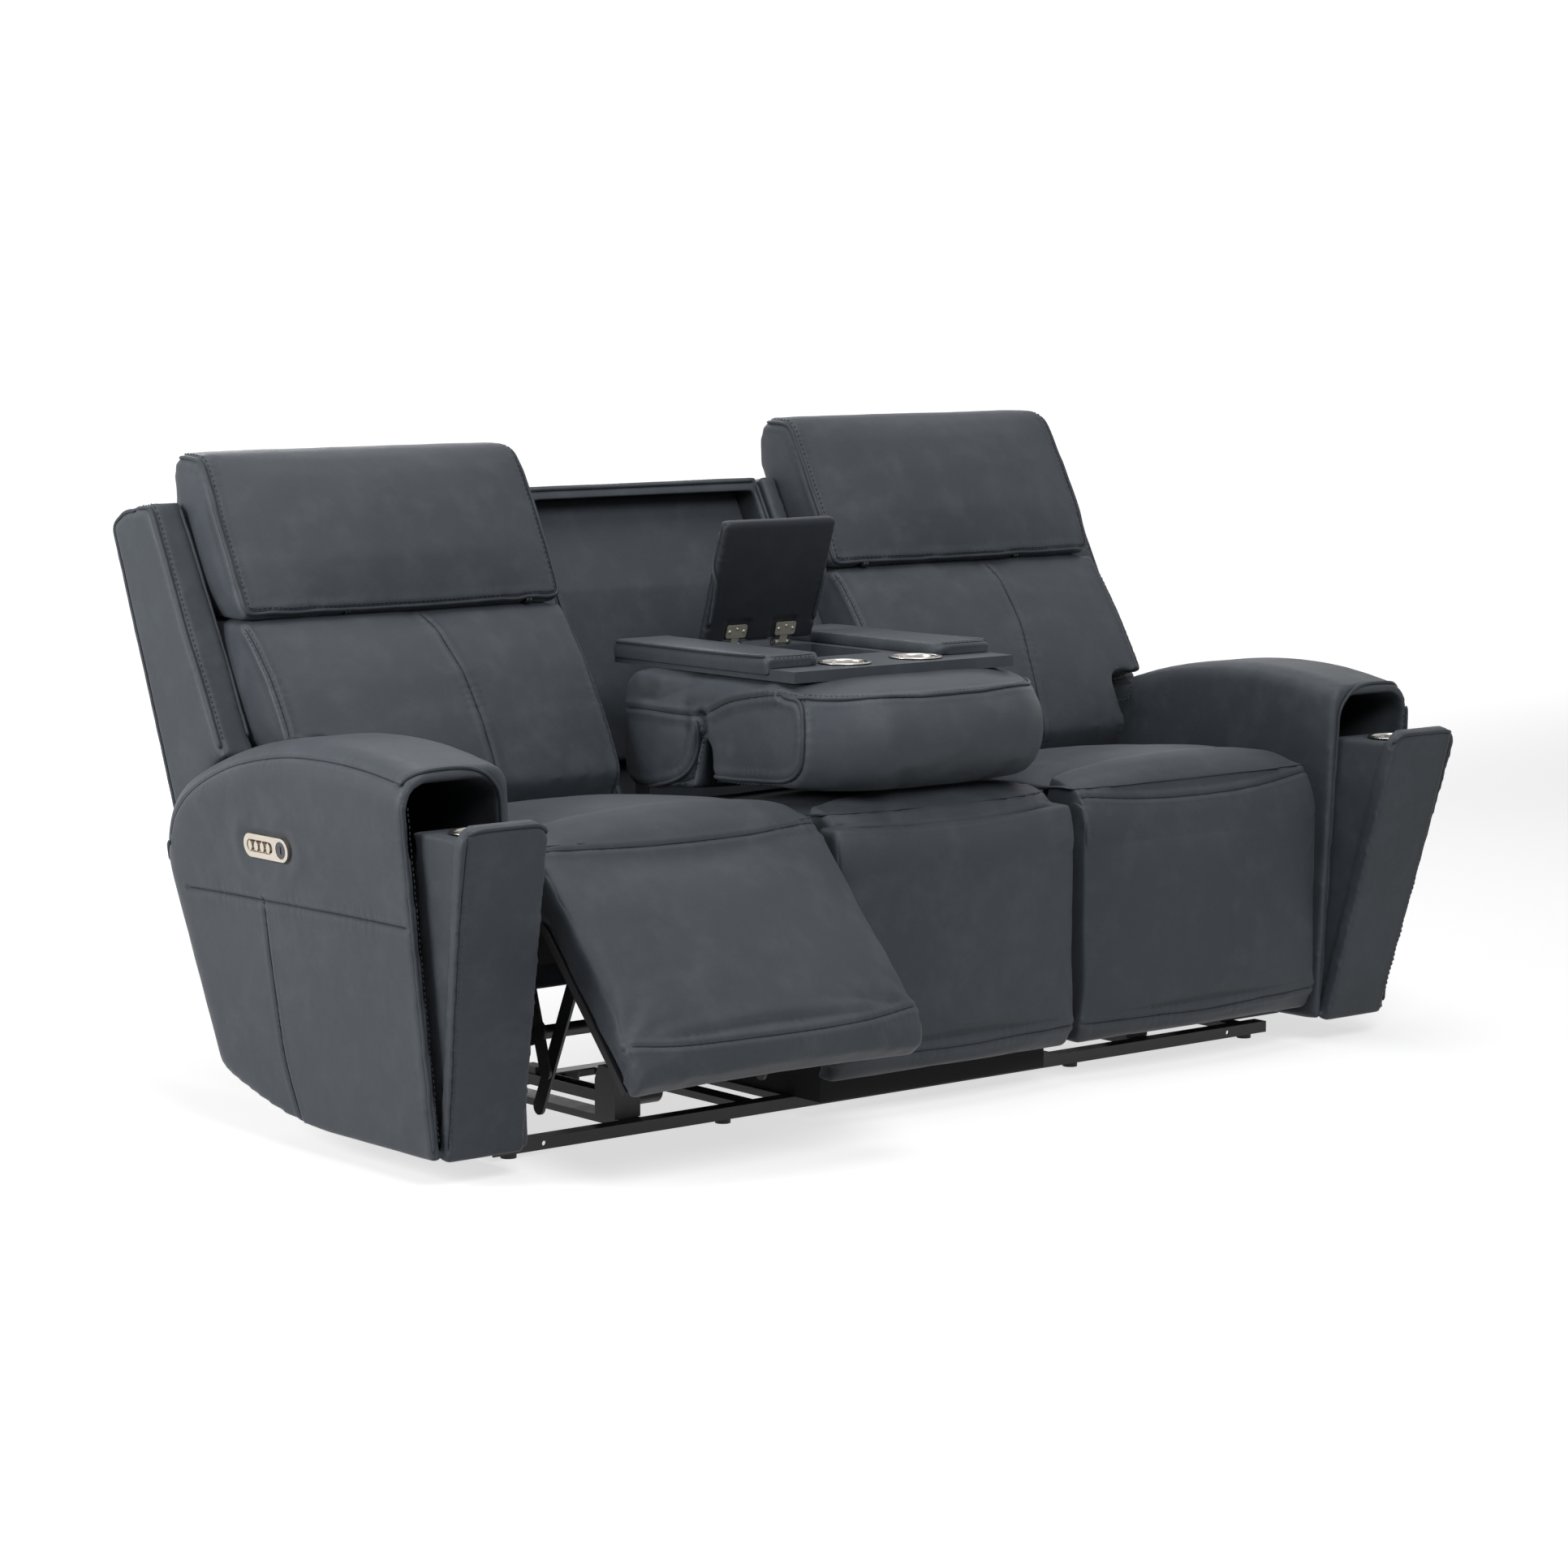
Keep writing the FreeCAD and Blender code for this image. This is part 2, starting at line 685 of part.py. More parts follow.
# Arms and their trays
def build_arm(side, label):
    """A padded arm: side profile padded across, drafted both ways, top rounded, front hollowed."""
    body = new_body(label)
    profile = [
        (arm_front, arm_base),
        (arm_front, arm_front_top),
        Bow(crest_y, arm_crest),
        (crown_y, crown_z),
        Bow(turn_middle_y, turn_middle_z),
        (turn_end_y, turn_end_z),
        (arm_heel, arm_heel_height),
        Bow(arm_heel - 120, arm_heel_height - 43),
        (arm_flat_end, arm_base),
    ]
    reach = arm_outer_foot + arm_outer_head - arm_inner_foot
    add_plate(body, "X", profile, side * (arm_inner_foot - 4), reach - arm_inner_foot, side)
    low, high = arm_base - 5, arm_crest + 20
    inner_wedge = [
        (side * (arm_inner_foot - 12), low),
        (side * arm_inner(low), low),
        (side * arm_inner(high), high),
        (side * (arm_inner_foot - 12), high),
    ]
    outer_wedge = [
        (side * (reach + 12), low),
        (side * arm_outer(low), low),
        (side * arm_outer(high), high),
        (side * (reach + 12), high),
    ]
    run = arm_tail - arm_front + 30
    cut_plate(body, "Y", inner_wedge, arm_front - 10, run)
    cut_plate(body, "Y", outer_wedge, arm_front - 10, run)

    def top_edge(is_outer):
        def test(middle, along, edge):
            level = middle.z > float(turn_end_z)
            faces = arm_outer(middle.z) if is_outer else arm_inner(middle.z)
            return level and abs(middle.x * side - float(faces)) < 3 and abs(along.y) > 0.3

        return test

    soften(body, arm_round_outer, top_edge(True))
    soften(body, arm_round_inner, top_edge(False))
    floor, ceiling = pocket_floor, pocket_top
    left = arm_inner(ceiling) + arm_rim
    right = arm_outer(ceiling) - arm_rim
    pocket = [
        (side * (arm_inner(floor) + arm_rim), floor),
        (side * left, ceiling - arm_round_inner * 0.88),
        Bow(side * (left + arm_round_inner * 0.41), ceiling - arm_round_inner * 0.235),
        (side * (left + arm_round_inner * 1.3), ceiling),
        (side * (right - arm_round_outer * 0.667), ceiling),
        Bow(side * (right - arm_round_outer * 0.167), ceiling - arm_round_outer * 0.18),
        (side * right, ceiling - arm_round_outer * 0.75),
        (side * (arm_outer(floor) - arm_rim), floor),
    ]
    cut_plate(body, "Y", pocket, arm_front - 1, pocket_depth + 1)
    sill = [
        (side * (arm_inner(low) + arm_rim), low),
        (side * (arm_inner(floor + 2) + arm_rim), floor + 2),
        (side * (arm_outer(floor + 2) - arm_rim), floor + 2),
        (side * (arm_outer(low) - arm_rim), low),
    ]
    cut_plate(body, "Y", sill, arm_front - 1, tray_panel_thick)
    pin_start = arm_inner(tray_hinge_z) + arm_rim - 7
    pin_run = arm_outer_foot - arm_inner_foot - arm_rim * 2 + 16
    pin_place = [(tray_hinge_y, tray_hinge_z)]
    cut_round(body, "X", pin_place, tray_pin + pin_gap, side * pin_start, pin_run, side)
    cut_plate_seat(body, side)
    return keep(label, body)


def arm_lean():
    """Angle by which an arm's outer face leans outwards."""
    return math.degrees(math.atan(float(arm_outer(1) - arm_outer(0))))


def cut_plate_seat(body, side):
    """Sink the seat of the control plate square to the leaning outer face."""
    zero = Size(0, "0")
    sunk = plate_sunk + fit_gap
    outline = stadium(zero, zero, plate_length + 2 * fit_gap, plate_height + 2 * fit_gap)
    sketch = outline_sketch(body, "YZ_Plane", outline, zero)
    sketch.setExpression(".AttachmentOffset.Base.z", None)
    lean = FreeCAD.Rotation(Vector(1, 0, 0), side * arm_lean())
    angle = math.radians(arm_lean())
    face = float(arm_outer(plate_z)) - float(sunk) * math.cos(angle)
    height = float(plate_z) + float(sunk) * math.sin(angle)
    place = Vector(float(plate_y), height, side * face)
    sketch.AttachmentOffset = FreeCAD.Placement(place, lean)
    cut_sketch(body, sketch, sunk + 10, side > 0)


def stadium(across, up, length, height):
    """A slot with round ends, as two straight sides and two half circles in quarter bows."""
    half = height / 2
    reach = length / 2 - half
    return [
        (across - reach, up - half),
        (across + reach, up - half),
        Bow(across + reach + half, up),
        (across + reach, up + half),
        (across - reach, up + half),
        Bow(across - reach - half, up),
    ]


def build_tray(side, label):
    """The tilting tray: a padded front panel with a wedge-shaped box behind it, and pivot pins."""
    body = new_body(label)
    base = arm_base + 2
    top = tray_panel_top
    inset = arm_rim + tray_play
    left = arm_inner(top) + inset
    right = arm_outer(top) - inset
    corner = arm_round_inner
    cut = arm_round_inner * 0.27
    panel = [
        (side * (arm_inner(base) + inset), base),
        (side * left, top - corner),
        Bow(side * (left + cut), top - cut),
        (side * (left + corner), top),
        (side * (right - corner), top),
        Bow(side * (right - cut), top - cut),
        (side * right, top - corner),
        (side * (arm_outer(base) - inset), base),
    ]
    panel_front = arm_front - tray_panel_proud
    panel_back = panel_front + tray_panel_thick
    add_plate(body, "Y", panel, panel_front, tray_panel_thick)
    box_base = pocket_floor + 4
    box_top = top - tray_drop
    deep = inset + tray_inset
    block = [
        (side * (arm_inner(box_base) + deep), box_base),
        (side * (arm_inner(box_top) + deep), box_top),
        (side * (arm_outer(box_top) - deep), box_top),
        (side * (arm_outer(box_base) - deep), box_base),
    ]
    add_plate(body, "Y", block, panel_back - 0.5, tray_depth)
    fall = tray_depth * sine(tray_tilt) / cosine(tray_tilt)
    rear = panel_back + tray_depth
    slope_top = [
        (panel_back, box_top),
        (rear + 5, box_top - fall - 5 * sine(tray_tilt)),
        (rear + 5, box_top + 10),
        (panel_back, box_top + 10),
    ]
    reach = arm_outer_foot + arm_outer_head - 2 * arm_inner_foot
    cut_plate(body, "X", slope_top, side * (arm_inner_foot - 20), reach, side)
    slope_rear = [
        (panel_back + 38, box_base - 5),
        (rear - 4, box_top - fall - 4),
        (rear + 5, box_top - fall - 4),
        (rear + 5, box_base - 5),
    ]
    cut_plate(body, "X", slope_rear, side * (arm_inner_foot - 20), reach, side)
    pin_start = arm_inner(tray_hinge_z) + arm_rim - 6
    pin_run = arm_outer_foot - arm_inner_foot - arm_rim * 2 + 14
    add_round(body, "X", [(tray_hinge_y, tray_hinge_z)], tray_pin, side * pin_start, pin_run, side)
    return body


def tray_cup_place(side):
    """Centre of the cup on the closed tray's sloping top."""
    reach = cup_flange + 4
    y = arm_front - tray_panel_proud + tray_panel_thick + reach * cosine(tray_tilt)
    z = tray_panel_top - tray_drop - reach * sine(tray_tilt)
    x = side * (arm_inner(z) + arm_outer(z)) / 2
    return x, y, z


def cup_body(label):
    """A pressed cup: flange, wall and floor turned about Z, with its rim plane at zero."""
    body = new_body(label)
    sketch = body.newObject("Sketcher::SketchObject", "Profile")
    sketch.AttachmentSupport = (origin_plane(body, "XZ_Plane"), [""])
    sketch.MapMode = "FlatFace"
    corners = [
        (0, -cup_deep),
        (cup_bore + cup_wall, -cup_deep),
        (cup_bore + cup_wall, 0),
        (cup_flange, 0),
        (cup_flange, cup_wall),
        (cup_bore, cup_wall),
        (cup_bore, cup_wall - cup_deep),
        (0, cup_wall - cup_deep),
    ]
    count = len(corners)
    for index in range(count):
        start = spot(*corners[index])
        end = spot(*corners[(index + 1) % count])
        sketch.addGeometry(Part.LineSegment(start, end), False)
    rules = []
    formulas = []
    for index, corner in enumerate(corners):
        rules.append(Sketcher.Constraint("Coincident", (index - 1) % count, 2, index, 1))
        for kind, value in (("DistanceX", corner[0]), ("DistanceY", corner[1])):
            formulas.append((len(rules), words(value)))
            rules.append(Sketcher.Constraint(kind, -1, 1, index, 1, float(value)))
    fix(sketch, rules, formulas)
    turn = body.newObject("PartDesign::Revolution", "Revolution")
    turn.Profile = sketch
    turn.ReferenceAxis = (sketch, ["V_Axis"])
    turn.Angle = 360
    sketch.Visibility = False
    doc.recompute()
    return body


def placed_cup(label, x, y, z, lean):
    """A cup whose rim plane sits at a place, leaning backwards by an angle."""
    body = cup_body(label)
    place = Vector(float(x), float(y), float(z))
    body.Placement = FreeCAD.Placement(place, FreeCAD.Rotation(Vector(1, 0, 0), -float(lean)))
    return body


for side, name in ((-1, "left"), (1, "right")):
    build_arm(side, f"{name}_arm")
    block = build_tray(side, f"{name}_tray_block")
    x, y, z = tray_cup_place(side)
    z = z + 0.15
    bore = doc.addObject("Part::Cylinder", "Bore")
    bore.setExpression("Radius", words(cup_bore + cup_wall + fit_gap))
    bore.setExpression("Height", words(cup_deep + 40))
    deep = Vector(0, 0, -float(cup_deep + fit_gap))
    lean = FreeCAD.Rotation(Vector(1, 0, 0), -float(tray_tilt))
    place = Vector(float(x), float(y), float(z))
    bore.Placement = FreeCAD.Placement(place + lean.multVec(deep), lean)
    tray = cut_away(block, bore)
    open_place = about_x(tray_hinge_y, tray_hinge_z, tray_tilt)
    tray.Placement = open_place
    keep(f"{name}_tray", tray)
    cup = placed_cup(f"{name}_tray_cup", x, y, z, tray_tilt)
    cup.Placement = open_place.multiply(cup.Placement)
    keep(f"{name}_tray_cup", cup)


# Control plates, their paddles and charging ports
def control_placement(side):
    """Where a control plate's middle lies on the arm's outer face, leaning with it."""
    place = Vector(side * float(arm_outer(plate_z)), float(plate_y), float(plate_z))
    return FreeCAD.Placement(place, FreeCAD.Rotation(Vector(0, 1, 0), side * arm_lean()))


def build_controls(side, name):
    bezel = new_body(f"{name}_control_bezel")
    full = stadium(Size(0, "0"), Size(0, "0"), plate_length, plate_height)
    add_plate(bezel, "X", full, -side * plate_sunk, plate_sunk + plate_proud, side)
    slot = stadium(slot_shift, Size(0, "0"), slot_length, slot_height)
    floor = side * (plate_floor - plate_sunk)
    open_depth = plate_sunk + plate_proud
    cut_plate(bezel, "X", slot, floor, open_depth, side)
    port_hole = port_radius + fit_gap
    cut_round(bezel, "X", [(port_shift, Size(0, "0"))], port_hole, floor, open_depth, side)
    bezel.Placement = control_placement(side)
    port = new_body(f"{name}_charging_port")
    port_depth = plate_sunk + plate_proud - plate_floor - 0.6
    add_round(port, "X", [(port_shift, Size(0, "0"))], port_radius, floor, port_depth, side)
    slit = [
        (port_shift - 3, Size(-6, "-6")),
        (port_shift + 2, Size(-6, "-6")),
        (port_shift + 2, Size(6, "6")),
        (port_shift - 3, Size(6, "6")),
    ]
    cut_plate(port, "X", slit, floor + side * (port_depth - 1.2), 3, side)
    port.Placement = control_placement(side)
    for index, use in enumerate(("head", "lumbar", "back", "foot")):
        centre = slot_shift + (index - 1.5) * paddle_pitch
        paddle = new_body(f"{name}_{use}_paddle")
        lens = [
            (centre, -paddle_tall),
            Bow(centre + paddle_half, Size(0, "0")),
            (centre, paddle_tall),
            Bow(centre - paddle_half, Size(0, "0")),
        ]
        rocker = side * (rocker_height + plate_floor - plate_sunk)
        bar = [(rocker, centre)]
        add_round(paddle, "Z", bar, rocker_radius, -paddle_tall + 1, paddle_tall * 2 - 2)
        add_plate(paddle, "X", lens, rocker, plate_proud + plate_sunk - 2.2, side)
        paddle.Placement = control_placement(side)
        keep(f"{name}_{use}_paddle", paddle)
    return bezel, port


controls = [build_controls(side, name) for side, name in ((-1, "left"), (1, "right"))]
group("control_bezels", [bezel for bezel, port in controls])
group("charging_ports", [port for bezel, port in controls])


# Seats, footrests and their linkage
def seat_x(side, offset):
    """X of a place on a side seat, given by its offset outwards from the seat's middle."""
    return side * (side_centre + offset)


def build_seat(side, name):
    deck = new_body(f"{name}_seat_frame")
    deck_half = side_half - 4
    add_plate(deck, "Z", rectangle(seat_x(side, 0), deck_half, deck_front, deck_rear), deck_base,
              deck_top - deck_base)
    opening = rectangle(seat_x(side, 0), deck_half - deck_wall, deck_front + deck_wall,
                        deck_rear - deck_wall)
    cut_plate(deck, "Z", opening, deck_base - 1, deck_top - deck_base - deck_skin + 1)
    keep(f"{name}_seat_frame", deck)
    x0 = seat_x(side, 0) - side_half
    x1 = seat_x(side, 0) + side_half
    base = deck_top + fit_gap
    crown = seat_crown - deck_top
    stations = (
        (seat_rear, 4, 74, 8),
        (seat_rear - 60, 1, 80, 16),
        (seat_rear - 150, 0, 86, 24),
        (seat_rear - 330, 0, 96, crown - 96),
        (nose_front + 100, 0, 94, crown - 95),
        (nose_front + 50, 1, 90, 28),
        (nose_front + 20, 3, 82, 22),
        (nose_front + 6, 6, 76, 14),
        (nose_front, 9, 68, 7),
    )
    sections = []
    for y, draw, top, bulge in stations:
        section = cross_section(x0 + draw, x1 - draw, base, deck_top + top, bulge, y)
        sections.append(section)
    shape = cushion(sections)
    clear_r = float(foot_root) + 1
    hinge = Vector(float(x0) - 5, float(foot_hinge_y), float(foot_hinge_z))
    span = 2 * float(side_half) + 10
    shape = shape.cut(Part.makeCylinder(clear_r, span, hinge, Vector(1, 0, 0)))
    notch_rear = float(deck_front) - 2
    notch = Part.makeBox(
        span,
        notch_rear - float(nose_front) + 20,
        float(foot_hinge_z) + clear_r - float(base) + 10,
        Vector(float(x0) - 5, float(nose_front) - 20, float(base) - 10),
    )
    shape = shape.cut(notch)
    solid_feature(f"{name}_seat_cushion", shape)


def build_footrest(side, name, opened):
    """The padded footrest, drawn closed about its hinge line and then turned open."""
    x0 = float(seat_x(side, 0) - side_half)
    x1 = float(seat_x(side, 0) + side_half)
    y0, z0 = float(foot_hinge_y), float(foot_hinge_z)
    r, length, crown = float(foot_root), float(foot_length), float(foot_crown)
    stations = (
        (0, 3, 0, 0.5),
        (34, 1, 0, 1),
        (62, 1, 0, crown - 12),
        (110, 0, 0, crown - 3),
        (length * 0.5, 0, 0, crown),
        (length - 62, 1, 0, crown - 2),
        (length - 30, 2, 2, 17),
        (length - 10, 4, 8, 10),
        (length, 8, 15, 4),
    )
    sections = []
    for down, draw, thin, bulge in stations:
        z = z0 - down
        sections.append(level_section(x0 + draw, x1 - draw, y0 - r + thin, y0 + r, bulge, z))
    shape = cushion(sections)
    root = Part.makeCylinder(r, x1 - x0 - 6, Vector(x0 + 3, y0, z0), Vector(1, 0, 0))
    shape = shape.fuse(root).removeSplitter()
    pad = solid_feature(f"{name}_footrest_pad", shape)
    pad.Placement = about_x(y0, z0, -float(opened))

    board = new_body(f"{name}_footrest_board")
    board_y = foot_hinge_y + foot_root
    panel = [
        (seat_x(side, 0) - side_half + 12, foot_hinge_z - foot_length + 24),
        (seat_x(side, 0) - side_half + 12, foot_hinge_z - 24),
        (seat_x(side, 0) + side_half - 12, foot_hinge_z - 24),
        (seat_x(side, 0) + side_half - 12, foot_hinge_z - foot_length + 24),
    ]
    add_plate(board, "Y", panel, board_y, board_thick)
    link_y = foot_hinge_y + lift_reach_back
    link_z = foot_hinge_z - lift_reach_down
    web_y = board_y + board_thick - 1
    ear = [
        (web_y, link_z - 52),
        (web_y, link_z + 40),
        (link_y, link_z + link_round - 2),
        Bow(link_y + link_round - 2, link_z),
        (link_y, link_z - link_round + 2),
    ]
    web = plate_offset - (plate_thick + link_gap) * 3
    for hand in (-1, 1):
        start = seat_x(side, hand * web)
        add_plate(board, "X", ear, start, plate_thick, -hand * side)
        pin_start = seat_x(side, hand * (web - plate_thick / 2))
        pin_run = plate_thick * 1.5 + link_gap
        place = [(link_y, link_z)]
        add_round(board, "X", place, link_pin - 0.5, pin_start, pin_run, hand * side)
    board.Placement = about_x(foot_hinge_y, foot_hinge_z, -float(opened))
    keep(f"{name}_footrest_board", board)


def slotted_link(body, start, toward, ends, radius):
    """A flat link with round ends: its two end centres give its place and direction."""
    (y0, z0), (y1, z1) = ends
    run = root((y1 - y0) * (y1 - y0) + (z1 - z0) * (z1 - z0))
    uy, uz = (y1 - y0) / run, (z1 - z0) / run
    outline = [
        (y0 + uz * radius, z0 - uy * radius),
        Bow(y0 - uy * radius, z0 - uz * radius),
        (y0 - uz * radius, z0 + uy * radius),
        (y1 - uz * radius, z1 + uy * radius),
        Bow(y1 + uy * radius, z1 + uz * radius),
        (y1 + uz * radius, z1 - uy * radius),
    ]
    add_plate(body, "X", outline, start, plate_thick, toward)


def build_linkage(side, name, opened):
    """Two flat links on each side of the footrest: a parallelogram with the hinge line."""
    foot_y, foot_z = turned(lift_reach_back, -lift_reach_down, opened)
    knee_y = lift_pivot_y + foot_y
    knee_z = lift_pivot_z + foot_z
    ear_y = foot_hinge_y + foot_y
    ear_z = foot_hinge_z + foot_z
    lift_run = root(foot_y * foot_y + foot_z * foot_z)
    middle_y = lift_pivot_y + foot_y * tube_share
    middle_z = lift_pivot_z + foot_z * tube_share
    tube_y = middle_y - foot_z / lift_run * tube_aside
    tube_z = middle_z + foot_y / lift_run * tube_aside
    step = plate_thick + link_gap
    lifts = []
    struts = []
    for hand in (-1, 1):
        lift_at = seat_x(side, hand * (plate_offset - step))
        lift = new_body("Lift")
        ends = ((lift_pivot_y, lift_pivot_z), (knee_y, knee_z))
        slotted_link(lift, lift_at, -hand * side, ends, link_round)
        lug = ((middle_y, middle_z), (tube_y, tube_z))
        slotted_link(lift, lift_at, -hand * side, lug, tube_radius + 6)
        hole = link_pin + pin_gap
        hole_at = seat_x(side, hand * (plate_offset - step + 1))
        place = [(lift_pivot_y, lift_pivot_z)]
        cut_round(lift, "X", place, hole, hole_at, plate_thick + 2, -hand * side)
        pin_at = seat_x(side, hand * (plate_offset - step - plate_thick / 2))
        pin_run = step + plate_thick / 2
        add_round(lift, "X", [(knee_y, knee_z)], link_pin, pin_at, pin_run, -hand * side)
        hole = tube_radius - 1
        tube_seat = seat_x(side, hand * (plate_offset - step + 1))
        place = [(tube_y, tube_z)]
        cut_round(lift, "X", place, hole, tube_seat, plate_thick + 2, -hand * side)
        lifts.append(lift)

        strut_at = seat_x(side, hand * (plate_offset - step * 2))
        strut = new_body("Strut")
        reach = root(
            (ear_y - knee_y) * (ear_y - knee_y) + (ear_z - knee_z) * (ear_z - knee_z)
        )
        tail_y = knee_y + (knee_y - ear_y) * link_tail / reach
        tail_z = knee_z + (knee_z - ear_z) * link_tail / reach
        slotted_link(strut, strut_at, -hand * side, ((ear_y, ear_z), (tail_y, tail_z)), link_round)
        hole_at = seat_x(side, hand * (plate_offset - step * 2 + 1))
        knee_hole = link_pin + pin_gap
        place = [(knee_y, knee_z)]
        cut_round(strut, "X", place, knee_hole, hole_at, plate_thick + 2, -hand * side)
        place = [(ear_y, ear_z)]
        cut_round(strut, "X", place, link_pin + 0.5, hole_at, plate_thick + 2, -hand * side)
        struts.append(strut)
    tube = doc.addObject("Part::Cylinder", "TorqueTube")
    tube_half = plate_offset + 38
    tube.setExpression("Radius", words(tube_radius - 1.2))
    tube.setExpression("Height", words(tube_half * 2))
    lay = FreeCAD.Rotation(Vector(0, 1, 0), 90)
    start = float(seat_x(side, 0)) - float(tube_half)
    tube.Placement = FreeCAD.Placement(Vector(start, float(tube_y), float(tube_z)), lay)
    group(f"{name}_lift_links", lifts + [tube])
    group(f"{name}_footrest_struts", struts)


def build_side_plates(side, name):
    """Steel plates under the seat that stand on the base bars and carry both hinge lines."""
    plates = []
    for hand in (-1, 1):
        plate = new_body("Plate")
        low = lift_pivot_z - 22
        profile = [
            (lift_pivot_y - 22, deck_base),
            (lift_pivot_y - 22, low + 8),
            (lift_pivot_y - 14, low),
            (deck_rear - 125, low),
            (deck_rear - 112, low - 60),
            (deck_rear - 112, rail_top),
            (deck_rear - 30, rail_top),
            (deck_rear - 30, low - 60),
            (deck_rear + 8, low),
            (hip_y + 18, hip_z - 20),
            (hip_y + 18, hip_z + 18),
            (hip_y - 18, hip_z + 18),
            (deck_rear + 1, deck_base),
        ]
        start = seat_x(side, hand * plate_offset)
        add_plate(plate, "X", profile, start, plate_thick, -hand * side)
        inside = seat_x(side, hand * (plate_offset - plate_thick / 2))
        run = plate_thick * 1.5 + link_gap
        place = [(lift_pivot_y, lift_pivot_z)]
        add_round(plate, "X", place, link_pin, inside, run, -hand * side)
        place = [(hip_y, hip_z)]
        add_round(plate, "X", place, hip_pin, inside, run + 2, -hand * side)
        toe = [
            (deck_rear - 112, rail_top),
            (deck_rear - 112, rail_top + 4),
            (deck_rear - 30, rail_top + 4),
            (deck_rear - 30, rail_top),
        ]
        add_plate(plate, "X", toe, inside, 18, -hand * side)
        plates.append(plate)
    group(f"{name}_side_plates", plates)


def build_actuator(side, name, opened):
    """The drive under the seat: motor and gearbox at the front, a channel rail and its slider."""
    middle = seat_x(side, 0)
    front = -rail_y + rail_flange + 6
    gearbox = new_body("Gearbox")
    shell = [
        (front, rail_top),
        (front, rail_top + 64),
        Bow(front + 10, rail_top + 78),
        (front + 26, rail_top + 84),
        (front + 44, rail_top + 84),
        (front + 54, rail_top + 60),
        (front + 54, rail_top),
    ]
    add_plate(gearbox, "X", shell, middle - 26, 52)
    motor = doc.addObject("Part::Cylinder", "Motor")
    motor.setExpression("Radius", "21")
    motor.setExpression("Height", "52")
    place = Vector(float(middle) + 26, float(front) + 28, float(rail_top) + 34)
    motor.Placement = FreeCAD.Placement(place, FreeCAD.Rotation(Vector(0, 1, 0), 90))
    rail = new_body("Channel")
    base = rail_top + 20
    section = [
        (middle - 16, base),
        (middle + 16, base),
        (middle + 16, base + 18),
        (middle + 13, base + 18),
        (middle + 13, base + 3),
        (middle - 13, base + 3),
        (middle - 13, base + 18),
        (middle - 16, base + 18),
    ]
    rear = bar_end - 4
    add_plate(rail, "Y", section, front + 54, rear - front - 54)
    stand = box(middle - 14, middle + 14, rear - 16, rear, rail_top, base)
    group(f"{name}_actuator", [gearbox, motor, rail, stand])
    travel = 2 * Size(float(opened), words(opened))
    y = rear - 60 - travel
    slider = new_body(f"{name}_drive_slider")
    half = 13 - fit_gap
    block = [
        (middle - half, base + 3 + fit_gap),
        (middle + half, base + 3 + fit_gap),
        (middle + half, base + 30),
        (middle - half, base + 30),
    ]
    add_plate(slider, "Y", block, y, 40)
    keep(f"{name}_drive_slider", slider)


for side, name, opened in ((-1, "left", left_open), (1, "right", right_open)):
    build_seat(side, name)
    build_footrest(side, name, opened)
    build_linkage(side, name, opened)
    build_side_plates(side, name)
    build_actuator(side, name, opened)


# Reclining backs
def shell_profile(set_back=0):
    """Side view of an outer back, its front edge moved back if asked."""
    waist = hip_z + 100
    return [
        (front_edge(back_top) + set_back, back_top),
        (back_rear_top - 40, back_top - 16),
        (back_rear_top, back_rear_height),
        (rear_face(back_base), back_base),
        (inner_face(back_base), back_base),
        (front_edge(waist) + 45, waist - 110),
        (front_edge(waist) + set_back, waist),
    ]


def behind_arm(clear):
    """The space kept free for an arm's rear end, seen from the side."""
    return [
        (arm_front, back_base - 60),
        (arm_front, arm_crest + 40),
        (arm_tail - 190, arm_crest - 24),
        (arm_tail - 92 + clear, crown_z + 6 + clear),
        (arm_tail - 8 + clear, crown_z - 72 + clear),
        (arm_tail + clear, arm_tail_height + 24),
        (back_rear_top, arm_tail_height + 20),
        (back_rear_top, back_base - 60),
    ]


def arm_shadow(side, inner, outer, clear):
    """A block that holds an arm's rounded top and rear edge with some room round them."""
    tilt = math.hypot(float(edge_y), float(edge_z))
    across = float(edge_y) / tilt * float(clear)
    up = float(edge_z) / tilt * float(clear)
    half = math.hypot(float(half_y), float(half_z))
    x = float(side * inner)
    front, base = float(arm_front), float(arm_base)
    start = Vector(x, front, float(arm_front_top + clear))
    crest = Vector(x, float(crest_y), float(arm_crest + clear))
    crown = Vector(x, float(crown_y), float(crown_z + clear))
    turn = Vector(
        x,
        float(turn_middle_y) + float(half_y) / half * float(clear),
        float(turn_middle_z) + float(half_z) / half * float(clear),
    )
    corner = Vector(x, float(turn_end_y) + across, float(turn_end_z) + up)
    heel = Vector(x, float(arm_heel) + across, float(arm_heel_height) + up)
    foot = Vector(x, front, base)
    edges = [
        Part.Arc(start, crest, crown).toShape(),
        Part.Arc(crown, turn, corner).toShape(),
        Part.makeLine(corner, heel),
        Part.makeLine(heel, foot),
        Part.makeLine(foot, start),
    ]
    face = Part.Face(Part.Wire(edges))
    return face.extrude(Vector(float(side * (outer - inner)), 0, 0))


def head_hinge(rise):
    """The headrest's hinge line, in the gap above the back cushion."""
    along = rise * back_front_slope
    return head_hinge_y + along, head_hinge_z + rise


